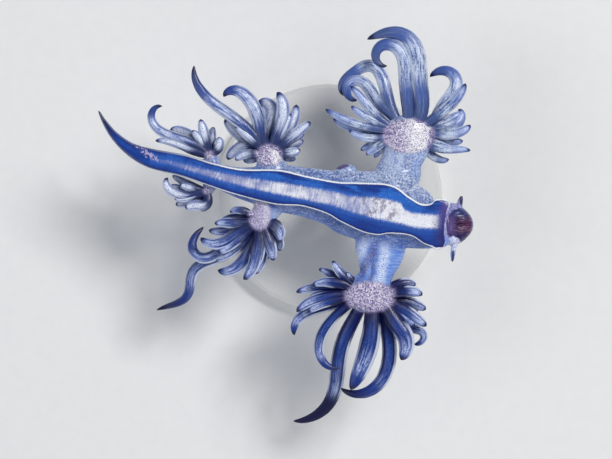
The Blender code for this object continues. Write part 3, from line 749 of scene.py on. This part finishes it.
# The silver band down the middle of the sole, feathered at its edges, streaked and blotched
band_edge = band_at + comb * 0.35 + specks * 0.7
band_share = band_edge.step(-0.12, 0.24)
glitter = skin.own("silver") + comb * 0.9 + drift * 0.9
silver = skin.mix(glitter.step(0.22, 0.80), (138, 146, 194), (242, 244, 251))
silver.over(fine_cloud.step(0.54, 0.72) * 0.45, 140, 146, 190)
silver.over(pepper.step(0.54, 0.64) * 0.40, 138, 138, 182)
blotch_reach = spot_x.step(2.6, 3.6) * spot_x.step(7.2, 6.2)
blotches = skin.noise(place, 1.3, detail=4.0, roughness=0.7).step(0.48, 0.60) * blotch_reach
silver.over(blotches * 0.7, 112, 92, 132)
band_fade = spot_x.step(-17.4, -11.0, 0.45, 0.96)
sole_tone.over(band_share * band_fade, silver)
sole_tone.over(front_band * 0.9, front_tone)

# The tail: deep blue to almost black at its tip, with a few pinkish scuffs
tail_dark = (lie_along + drift * 1.5).step(3.6, 0.6)
sole_tone.over(tail_dark * 0.85, 10, 14, 52)
scuff_across = spot_y - 4.25 + (spot_x + 18.3) * 0.57
scuff_gap = abs(spot_x + 18.2) / 1.7 + abs(scuff_across) / 0.55
scuffs = (scuff_gap + jitter * 1.6 + specks * 1.4).step(0.95, 0.60)
scuffs *= skin.noise(place, 3.0).step(0.44, 0.54)
sole_tone.over(scuffs * 0.75, 200, 184, 208)

# A crisp white edge along both sides of the sole and round its two front corners
edge_width = lie_across.step(-1.0, 1.0, 0.14, 0.20)
edge_width -= ahead_at.step(-0.9, -0.3) * 0.08
white_edge = (abs(margin_at - 0.02 + jitter * 0.08) - edge_width).step(0.0, -0.07)
on_side = ahead_at.step(-0.30, -0.75)
on_corner = spot_y.step(-2.0, -1.3) * 0.55 + spot_y.step(-4.4, -4.9) * 0.8
white_edge *= on_side + (1 - on_side) * on_corner
sole_share = margin_at.step(-0.02, 0.06)
tone = skin.mix(sole_share, body_tone, sole_tone)
tone.over(white_edge * lie_along.step(6.0, 17.0, 0.1, 1.0), 244, 248, 255)

# The head: a dark face, plum to the left, navy at the top and bottom, with fine maroon lines
# to the right, inside a thin pale rim, and a white grainy cheek by the left feeler
face_x = (spot_x - 12.96) / 1.35
face_y = (spot_y + 2.95) / 1.80
face_gap = skin.node("Math", {0: face_x * face_x + face_y * face_y}, operation="SQRT")
cheek_x = (spot_x - 12.50) / 0.62
cheek_y = (spot_y + 4.75) / 0.95
cheek = (cheek_x * cheek_x + cheek_y * cheek_y + jitter * 2.0).step(1.4, 0.3)
face_gap = face_gap + jitter * 0.12 + cheek * 0.3
face = skin.mix((spot_x + jitter * 0.8).step(12.0, 13.0), (88, 70, 128), (44, 26, 72))
face_side = spot_y + drift * 0.8
face.over(face_side.step(-2.5, -1.5) * 0.9, 34, 48, 112)
face.over(face_side.step(-3.4, -4.2) * 0.9, 22, 24, 80)
face.over(fine_cloud.step(0.50, 0.66) * 0.45, 104, 98, 160)
line_waves = skin.noise(skin.stretch(place, 0.6, 7.5, 1.0), 1.0)
line_reach = spot_x.step(12.3, 13.2) * abs(spot_y + 2.9).step(1.1, 0.5)
face.over(line_reach * 0.6, 72, 28, 70)
face.over(line_waves.step(0.50, 0.62) * line_reach * 0.6, 140, 84, 124)
head_tone = skin.mix(fine_cloud.step(0.35, 0.7), (118, 112, 184), (186, 190, 230))
low_side = spot_y.step(-3.8, -4.5) * spot_x.step(12.7, 12.2)
head_tone.over(low_side * 0.8, 104, 146, 226)
head_tone.over(cheek * pepper.step(0.58, 0.46), 236, 240, 253)
feeler_core = spot_y.step(-5.3, -5.6) * abs(spot_x - 12.36).step(0.17, 0.08)
feeler_core += spot_y.step(-1.1, -0.7) * abs(spot_x - 13.2).step(0.24, 0.14)
head_tone.over(feeler_core * 0.9, 20, 24, 78)
head_tone.over(face_gap.step(1.06, 0.92), face)
head_share = ahead_at.step(-0.06, 0.08)
tone.over(head_share, head_tone)

# A fine grain all over, wrinkles on the arms, and a wet shine
relief = skin.bump(pepper, 0.35, 0.03)
relief = skin.bump(wrinkles * out_at.step(0.0, 0.8), 0.5, 0.08, relief)
relief = skin.bump(cross_streaks * sole_share, 0.25, 0.04, relief)
relief = skin.bump(grain * hub_share, 0.7, 0.08, relief)
skin.feed(Base_Color=tone, Normal=relief)
sparkle = grain_tint.step(0.7, 0.95) * hub_share
skin.feed(Roughness=0.36 - sparkle * 0.12 + band_share * sole_share * 0.06)
skin.feed(Metallic=band_share * sole_share * 0.15 + hub_share * 0.1)


def finish_piece(name, mesh, material, nodes):
    """Adds a finished mesh to the frame, as a piece that stands for its nodes."""
    mesh.materials.clear()
    mesh.materials.append(material)
    mesh.shade_smooth()
    made = add_object(name, mesh)
    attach(made, "root")
    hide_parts(*nodes)


points = (vectors_of(skin_mesh.vertices, "co") + (0, 0, SOLE_HEIGHT)) * MM
set_points(skin_mesh, points)
flesh_nodes = [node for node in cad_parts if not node.startswith(("stand_", "cerata_"))]
finish_piece("slug_skin", skin_mesh, skin.material, flesh_nodes)

# The cerata: finger-like outgrowths in a fan round each hub, in two layers, each a flattened
# tapering tube of soft skin. Here each is swept along its own curling line.
CERAS_STEP = 0.16
CERAS_FEWEST_STEPS = 24
CERAS_SIDES = 22
CERAS_ROOT_DEPTH = 0.55
CERAS_FLATNESS = 0.72
CERAS_ROUNDEST = 1.15
CERAS_LEAST_THICKNESS = 0.5
ROOT_WIDTH = 0.72
WIDEST_PLACE = 0.55
TIP_WIDTH = 0.03
TIP_FADE = 3.2
TIP_FADE_POWER = 0.7
TIP_ROUNDNESS = 0.58
LAYER_STEP = 0.32
UPPER_RISE = 0.05
LOWER_DROP = 0.13
ELBOW_PLACE = 0.65
ELBOW_LENGTH = 0.14
NOISE_SPREAD = 40.0

FANS = {
    # the hub's middle and half axes, how much painted glare washes the fan pale and how silvery it
    # is, and for each ceras its bearing at the root, length, sway, curl and width, and its wave and
    # its elbow where it has them
    "front_right": ((7.8, 6.4, -1.75), (2.00, 1.36), (0.40, 0.08), (
        (172, 6.7, -18, -8, 0.85), (180, 5.8, -16, -30, 0.80), (196, 4.2, -40, -20, 0.80),
        (202, 3.1, 0, 5, 0.85), (210, 2.9, 5, 0, 0.85), (216, 2.4, 14, 10, 0.80),
        (150, 5.7, -47, 34, 0.95), (122, 9.1, -18, 262, 1.25, 18), (88, 12.0, -22, 306, 1.50, 10),
        (120, 11.3, -80, 280, 1.35, 0, 60), (60, 13.0, 100, 46, 1.85, 17),
        (24, 9.2, 75, 128, 1.40, 19), (34, 6.0, 8, 28, 1.10), (8, 4.8, -8, 134, 1.35),
        (-4, 4.6, 5, 52, 1.10), (-15, 3.8, 5, 24, 1.00), (-40, 5.0, 90, -65, 0.85),
        (-50, 3.6, 14, 60, 0.85), (160, 4.4, -20, 0, 0.85), (20, 4.2, 0, 20, 0.95),
        (-27, 3.0, 6, 20, 0.85), (188, 3.6, -20, -20, 0.75),
    )),
    "front_left": ((4.0, -9.9, -1.75), (2.00, 1.36), (0.0, 0.0), (
        (134, 1.6, -14, 0, 0.80), (138, 2.7, -14, 0, 0.85), (141, 3.4, -14, -16, 0.90),
        (147, 3.9, 8, 4, 0.95), (150, 4.2, 52, 0, 0.95), (163, 5.6, 38, 0, 1.00),
        (180, 5.8, 22, 28, 1.10), (201, 7.5, -36, 124, 1.15), (213, 9.3, 38, 124, 1.05),
        (243, 15.1, 57, -118, 1.65, -8), (276, 8.6, -49, 16, 1.95), (298, 12.6, -64, -96, 1.55, -2),
        (314, 6.4, -22, -58, 1.75, -9), (322, 6.8, -17, -130, 0.95, 0, 68),
        (333, 4.7, -10, -4, 1.25), (346, 4.0, 4, -24, 1.20), (5, 3.4, 14, -62, 1.15),
        (24, 3.0, -8, -54, 1.10), (156, 3.6, 30, 0, 0.80), (172, 4.2, 26, 10, 0.85),
        (190, 4.6, 10, 20, 0.90), (340, 3.3, 0, -10, 0.95), (327, 3.8, -6, -20, 1.00),
    )),
    "middle_right": ((-6.1, 4.1, -1.6), (1.00, 0.92), (0.16, 0.40), (
        (123, 11.2, 72, -116, 1.25), (145, 4.9, 0, -22, 1.20), (116, 8.2, -62, 202, 1.45, -6),
        (98, 5.6, -86, 194, 1.55, 12), (69, 5.8, 2, 64, 1.40), (53, 5.0, 10, 26, 1.30),
        (40, 4.4, 0, -4, 1.10), (27, 2.8, -4, -8, 1.10), (10, 2.2, -20, 48, 1.00),
        (146, 4.1, 92, 22, 1.25, -8), (172, 2.6, 26, 44, 0.95), (190, 1.7, 4, 5, 0.90),
        (108, 4.4, -20, 0, 1.10), (84, 4.6, 0, 10, 1.20), (62, 3.8, 0, 10, 1.10),
        (33, 3.2, 0, 0, 0.95), (134, 3.6, 10, 0, 1.00), (-4, 1.7, -14, 0, 0.85),
    )),
    "middle_left": ((-7.05, -2.27, -1.6), (0.80, 1.00), (0.05, 0.0), (
        (154, 2.4, 20, 44, 0.80), (174, 3.2, 20, 9, 0.95), (196, 3.8, -48, 45, 1.05),
        (203, 4.6, -12, -30, 1.10), (212, 6.0, 16, -102, 1.20, -5),
        (248, 10.5, -106, -104, 1.20, -28), (238, 14.3, -116, 82, 1.25, 0, 78),
        (254, 6.6, -16, -84, 1.35), (266, 5.5, -4, -46, 1.30), (280, 4.8, -26, -26, 1.35),
        (296, 3.5, -14, -10, 1.20), (318, 3.1, -10, -68, 1.10), (350, 2.6, -75, -27, 0.95),
        (186, 2.8, 0, 10, 0.85), (222, 4.6, 0, -20, 1.00), (232, 5.6, -10, -40, 1.05),
        (273, 4.0, -10, -20, 1.05), (288, 3.2, -10, -10, 1.05), (334, 2.5, -40, -30, 0.90),
    )),
    "rear_right": ((-12.1, 4.15, -1.3), (0.45, 0.38), (0.14, 0.50), (
        (136, 8.6, 110, -262, 1.00), (134, 4.5, 8, 44, 1.35), (103, 3.3, 2, 0, 1.05),
        (79, 2.5, 37, -67, 0.95), (32, 1.8, 73, 24, 1.05), (160, 3.4, -10, 8, 1.25),
        (166, 5.2, -26, 50, 0.80), (146, 3.6, 10, 0, 0.80), (118, 2.6, 10, 10, 0.85),
    )),
    "rear_left": ((-12.35, 0.5, -1.3), (0.40, 0.34), (0.10, 0.40), (
        (190, 4.9, 0, -150, 1.00, 9), (176, 3.4, 4, -36, 0.90), (168, 2.4, 0, -10, 0.85),
        (224, 3.2, -60, 20, 1.10, 6), (276, 3.2, -180, 84, 1.15, 20), (160, 3.5, -6, -10, 0.80),
        (204, 3.0, -20, -10, 0.85),
    )),
}
SINKING = {
    # which ceras hangs down, how far, and where along it the painted shade on its hanging part
    # begins and is full
    "front_left": (9, 7.0, (0.52, 0.74)),
    "middle_left": (6, 5.0, (0.86, 0.98)),
}
FALL_POWER = 1.2
# Short cerata end blunter than long ones, and less of them is dark
BLUNT_LENGTHS = (6.0, 13.0)
BLUNTNESS = (5.0, 2.6)
DARK_LENGTHS = (3.0, 6.5, 9.0, 12.0)
DARK_TIPS = (0.02, 0.06, 0.18, 0.30)


def ceras_line(centre, half_axes, ceras, level, lean, sink):
    """Points along a ceras, from inside its hub to its tip, and their share of its length."""
    bearing, length, sway, curl = ceras[:4]
    wave, elbow = (*ceras[5:], 0, 0)[:2]
    outward = np.array((math.cos(math.radians(bearing)), math.sin(math.radians(bearing)), 0.0))
    root = np.array(centre) + outward * (*half_axes, 0.0) + (0, 0, level)
    steps = max(CERAS_FEWEST_STEPS, round(length / CERAS_STEP))
    share = (np.arange(steps) + 0.5) / steps
    turn = bearing + sway * share + curl * share ** 3 + wave * np.sin(3 * math.pi * share)
    turn = np.radians(turn + elbow * np.exp(-((share - ELBOW_PLACE) / ELBOW_LENGTH) ** 2))
    slope = lean - (1 + FALL_POWER) * sink / length * share ** FALL_POWER
    moves = np.column_stack((np.cos(turn), np.sin(turn), slope)) * length / steps
    inner = root - outward * CERAS_ROOT_DEPTH * min(1.0, half_axes[0])
    line = np.vstack((inner, root, root + np.cumsum(moves, axis=0)))
    return line, np.concatenate(((0.0,), np.arange(steps + 1) / steps))


def ceras_width(share, length):
    """Width along a ceras, out of its widest: a narrow root, a full outer half, a round tip."""
    widening = np.sin(np.minimum(share / WIDEST_PLACE, 1.0) * math.pi / 2)
    root = ROOT_WIDTH + (1 - ROOT_WIDTH) * widening
    blunt = np.interp(length, BLUNT_LENGTHS, BLUNTNESS)
    return root * np.maximum(0.0, 1.0 - share ** blunt) ** TIP_ROUNDNESS


def fan_guides(side):
    """Lines for one fan's cerata, with each point's sizes and what its colours follow."""
    centre, half_axes, (glare_wash, silvery), cerata = FANS[side]
    sinking, fall, sink_shade = SINKING.get(side, (None, 0.0, (2.0, 3.0)))
    chance = np.random.default_rng(len(cerata) + len(side))
    rows = {}
    edges = []
    first = 0
    for index, ceras in enumerate(cerata):
        length = ceras[1]
        width = ceras[4]
        sink = fall if index == sinking else 0.0
        upper = index % 2 == 0 and index != sinking
        level, lean = (LAYER_STEP, UPPER_RISE) if upper else (-LAYER_STEP, -LOWER_DROP)
        line, share = ceras_line(centre, half_axes, ceras, level, lean, sink)
        across, up = crosswise(headings(line))
        half = width / 2 * np.maximum(ceras_width(share, length), TIP_WIDTH)
        least = CERAS_LEAST_THICKNESS / 2 * np.minimum(1.0, TIP_FADE * (1 - share)) ** TIP_FADE_POWER
        high = np.minimum(np.maximum(half * CERAS_FLATNESS, least), half * CERAS_ROUNDEST)
        guides = {
            "middle": line, "across": across * half[:, None], "rise": up * high[:, None],
            "along": share, "reach": share * length, "hub": hub_places(line)[0],
            "sink_shade": smooth_step(share, *sink_shade) * (sink > 0), "tint": chance.random(),
            "dark": np.interp(length, DARK_LENGTHS, DARK_TIPS), "broad": width,
            "low": 0.0 if upper else 1.0, "glare_wash": glare_wash, "silvery": silvery,
        }
        for key, value in guides.items():
            rows.setdefault(key, []).append(value if np.ndim(value) else np.full(len(line), value))
        edges += [(first + step, first + step + 1) for step in range(len(line) - 1)]
        first += len(line)
    rows = {key: np.concatenate(parts) for key, parts in rows.items()}
    mesh = bpy.data.meshes.new("guides_" + side)
    mesh.from_pydata(rows["middle"].tolist(), edges, [])
    for key, value in rows.items():
        store(mesh, key, value)
    return add_object("guides_" + side, mesh)


class Tree:
    """A Geometry Nodes tree, built node by node, with named inputs."""

    def __init__(self, name, inputs):
        self.tree = bpy.data.node_groups.new(name, "GeometryNodeTree")
        self.tree.interface.new_socket("Geometry", in_out="OUTPUT", socket_type="NodeSocketGeometry")
        self.keys = {}
        for key, kind in inputs.items():
            made = self.tree.interface.new_socket(key, in_out="INPUT", socket_type="NodeSocket" + kind)
            self.keys[key] = made.identifier
        self.inputs = self.tree.nodes.new("NodeGroupInput").outputs
        self.result = self.tree.nodes.new("NodeGroupOutput").inputs[0]

    def node(self, kind, sockets, out=0, **settings):
        made = self.tree.nodes.new(kind)
        for key, value in settings.items():
            setattr(made, key, value)
        for key, value in sockets.items():
            if isinstance(value, bpy.types.NodeSocket):
                self.tree.links.new(value, made.inputs[key])
            else:
                made.inputs[key].default_value = value
        return made.outputs[out]

    def vector(self, operation, first, second):
        return self.node("ShaderNodeVectorMath", {0: first, 1: second}, operation=operation)

    def scaled(self, vector, scale):
        return self.node("ShaderNodeVectorMath", {0: vector, "Scale": scale}, operation="SCALE")

    def own(self, name, kind):
        return self.node("GeometryNodeInputNamedAttribute", {"Name": name}, data_type=kind)

    def apply(self, made, **values):
        """The tree's result on an object, as a plain mesh."""
        modifier = made.modifiers.new("grow", "NODES")
        modifier.node_group = self.tree
        for key, value in values.items():
            modifier[self.keys[key.replace("_", " ")]] = value
        return baked(made)


grow = Tree("ceras_sweep", {
    "Geometry": "Geometry", "Sides": "Int", "Bulge": "Float", "Bulge Size": "Float",
    "Scale": "Float", "Sole Height": "Float", "Material": "Material",
})
section = grow.node("GeometryNodeCurvePrimitiveCircle", {"Resolution": grow.inputs["Sides"]})
turn = grow.node("ShaderNodeSeparateXYZ", {0: grow.node("GeometryNodeInputPosition", {})})
for key, part in (("side", turn), ("lift", turn.node.outputs[1])):
    sockets = {"Geometry": section, "Name": key, "Value": part}
    section = grow.node("GeometryNodeStoreNamedAttribute", sockets)
lines = grow.node("GeometryNodeMeshToCurve", {"Mesh": grow.inputs["Geometry"]})
sockets = {"Curve": lines, "Profile Curve": section, "Fill Caps": True}
tubes = grow.node("GeometryNodeCurveToMesh", sockets)
middle = grow.own("middle", "FLOAT_VECTOR")
widened = grow.scaled(grow.own("across", "FLOAT_VECTOR"), grow.own("side", "FLOAT"))
raised = grow.scaled(grow.own("rise", "FLOAT_VECTOR"), grow.own("lift", "FLOAT"))
outward = grow.vector("ADD", widened, raised)
surface = grow.vector("ADD", middle, outward)
lumps = grow.node("ShaderNodeTexNoise", {"Vector": surface, "Scale": grow.inputs["Bulge Size"]})
sockets = {0: lumps, 1: grow.inputs["Bulge"], 2: 1.0}
swell = grow.node("ShaderNodeMath", sockets, operation="MULTIPLY_ADD")
surface = grow.vector("ADD", middle, grow.scaled(outward, swell))
lift_up = grow.node("ShaderNodeCombineXYZ", {"Z": grow.inputs["Sole Height"]})
surface = grow.scaled(grow.vector("ADD", surface, lift_up), grow.inputs["Scale"])
tubes = grow.node("GeometryNodeSetPosition", {"Geometry": tubes, "Position": surface})
tubes = grow.node("GeometryNodeRealizeInstances", {"Geometry": tubes})
sockets = {"Geometry": tubes, "Material": grow.inputs["Material"]}
tubes = grow.node("GeometryNodeSetMaterial", sockets)
grow.tree.links.new(tubes, grow.result)

cerata = Finish("cerata_skin", Coat_Roughness=0.12, IOR=1.36)
share_along = cerata.own("along")
side_way = cerata.own("side")
side_at = abs(side_way)
lift_at = cerata.own("lift")
tint_at = cerata.own("tint")
dark_at = cerata.own("dark")
reach_at = cerata.own("reach")
flow = {0: reach_at, 1: side_way * cerata.own("broad"), 2: tint_at * NOISE_SPREAD}
flow = cerata.node("CombineXYZ", flow)
spot = cerata.in_mm()
mottle = cerata.noise(cerata.stretch(flow, 0.8, 2.2, 1.0), 1.0, detail=4.0, roughness=0.7)
dust = cerata.noise(spot, 8.5, roughness=0.7)
ripples = cerata.noise(cerata.stretch(flow, 4.0, 0.8, 1.0), 1.0, detail=3.0, roughness=0.6)
fibres = cerata.noise(cerata.stretch(flow, 0.35, 5.0, 1.0), 1.0, roughness=0.6)
strand = fibres - 0.5
blur = mottle - 0.5
grit = dust - 0.5

# Deep blue at the root, royal blue along the middle, streaked lengthwise
short = dark_at.step(0.12, 0.04)
painted_glare = cerata.own("glare_wash")
pale_from = share_along + (tint_at - 0.5) * 0.14 + strand * 0.36 + grit * 0.15
silvery = cerata.own("silvery")
pale = (pale_from + silvery * 0.6 - short * 0.10).step(0.40, 0.72)
tip_from = 1.0 - dark_at
tip_share = (share_along - tip_from + strand * 0.10).step(-0.09, 0.03)
pale *= 1 - tip_share
tone = cerata.mix(reach_at.step(0.2, 3.2), (5, 14, 66), (16, 46, 126))
ribs = fibres.step(0.44, 0.62) * reach_at.step(0.6, 3.0) * side_at.step(0.75, 0.2)
tone.over(ribs * 0.6, 48, 86, 162)
speckle = (dust + blur * 0.5).step(0.50, 0.62) * reach_at.step(1.6, 4.0)
tone.over(speckle * 0.40, 88, 118, 184)

# The outer part: lavender grey, brushed down the middle with silver that is partly the cerata's own
# colour and partly a painted highlight, and dusted with blue
outer = cerata.mix((mottle + silvery * 0.2).step(0.38, 0.64), (58, 82, 158), (124, 144, 208))
tone.over(pale * 0.85, outer)
centre_band = (side_at + strand * 0.8).step(0.85, 0.25)
brush = mottle + (ripples - 0.5) * 0.4 + strand * 0.7 + short * silvery * 0.7 - 0.02
brush += share_along.step(0.50, 0.80) * short * 0.12
# Silver down the middle: partly real silver, partly a painted highlight
silver_and_sheen = pale * centre_band * brush.step(0.38, 0.64)
silver_and_sheen *= dust.step(0.60, 0.48, 0.5, 1.0)
silver_tone = cerata.mix(silvery.step(0.0, 0.25), (198, 211, 242), (238, 243, 253))
tone.over(silver_and_sheen * 0.92, silver_tone)
tone.over(dust.step(0.52, 0.62) * pale * (0.45 - painted_glare * 0.6), 58, 74, 150)

# Painted shade along both sides near the root and over the lower layer there, where the gaps
# between cerata are dark, and a crisp pale line along the edges beyond
root_gap_shade = (side_at + reach_at.step(3.0, 0.5) * 0.15).step(0.32, 0.75)
root_gap_shade *= share_along.step(0.90, 0.25)
tone.over(root_gap_shade * 0.92, 10, 16, 68)
# Painted shade: the lower layer darker near the root
shade = cerata.own("low") * reach_at.step(4.4, 1.4)
tone.over(shade * 0.7, 9, 20, 84)
edge_line = side_way.step(0.62, 0.76)
edge_line += side_way.step(-0.78, -0.88) * 0.6
edge_line *= (share_along + blur * 0.3 - short * 0.25).step(0.16, 0.34)
edge_line *= 1 - tip_share * 0.5
tone.over(edge_line * lift_at.step(-0.5, -0.1) * 0.8, 218, 228, 250)

# The tip: royal blue into indigo, and a small dark nib
tip_tone = cerata.mix((share_along - tip_from).step(0.0, 0.22), (26, 54, 134), (10, 16, 72))
small_tip = share_along.step(0.92, 0.97)
tone.over(tip_share, tip_tone)
# Painted glare: on the fans nearest the key lamp the nib is lighter and the outer part washed pale,
# with painted sunlit patches and white streaks
tone.over(small_tip * (1 - painted_glare), 16, 20, 66)
painted_glare *= 1 - small_tip
tone.over(painted_glare * 0.8, 108, 138, 206)
painted_sunlit = share_along.step(0.22, 0.40) * share_along.step(0.72, 0.55)
painted_sunlit *= (mottle + strand * 0.3 + grit * 0.5).step(0.34, 0.62)
tone.over(painted_glare * painted_sunlit * 1.8, 222, 234, 250)
tone.over(painted_glare * fibres.step(0.58, 0.68) * 0.4, 226, 236, 252)
# Painted shade: the part of a ceras that hangs down goes almost black
painted_sink_shade = (cerata.own("sink_shade") + blur * 0.3).step(0.1, 0.9)
tone.over(painted_sink_shade, 4, 6, 66)
tone.over(lift_at.step(-0.1, -0.7) * (1 - painted_sink_shade) * 0.4, 150, 158, 196)

# The root: the hub's pinkish silver grain runs a little way out along each ceras
root_tone = cerata.mix(dust.step(0.42, 0.56), (214, 206, 232), (96, 84, 140))
root_share = (cerata.own("hub") + grit * 0.9).step(-0.12, 0.30)
tone.over(root_share * lift_at.step(-0.3, 0.2), root_tone)
relief = cerata.bump(dust, 0.3, 0.03)
relief = cerata.bump(ripples, 0.35, 0.06, relief)
relief = cerata.bump(fibres, 0.4, 0.10, relief)
cerata.feed(Base_Color=tone, Normal=relief)
cerata.feed(Roughness=0.36 + painted_sink_shade * 0.3, Coat_Weight=0.18 - painted_sink_shade * 0.18)
cerata.feed(Metallic=silver_and_sheen * 0.1)

for side in FANS:
    mesh = grow.apply(fan_guides(side), Sides=CERAS_SIDES, Bulge=0.12, Bulge_Size=1.4, Scale=MM,
                      Sole_Height=SOLE_HEIGHT, Material=cerata.material)
    shape = bmesh.new()
    shape.from_mesh(mesh)
    bmesh.ops.recalc_face_normals(shape, faces=shape.faces)
    shape.to_mesh(mesh)
    shape.free()
    finish_piece("cerata_fan_" + side, mesh, cerata.material, ["cerata_" + side])

# The display stand: a flat round base and one rod of off-white satin plastic, turned and
# lightly polished, which keep their own solids.
stand = Finish("satin_plastic", Roughness=0.45, IOR=1.46)
stand_grain = stand.noise(stand.in_mm(), 3.0, detail=4.0)
stand.feed(Base_Color=stand.mix(stand_grain, (214, 215, 214), (222, 223, 222)))
stand.feed(Roughness=stand_grain.step(0.3, 0.7, 0.40, 0.52))
for name in ("stand_base", "stand_rod"):
    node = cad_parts[name]
    node.data.materials.clear()
    node.data.materials.append(stand.material)
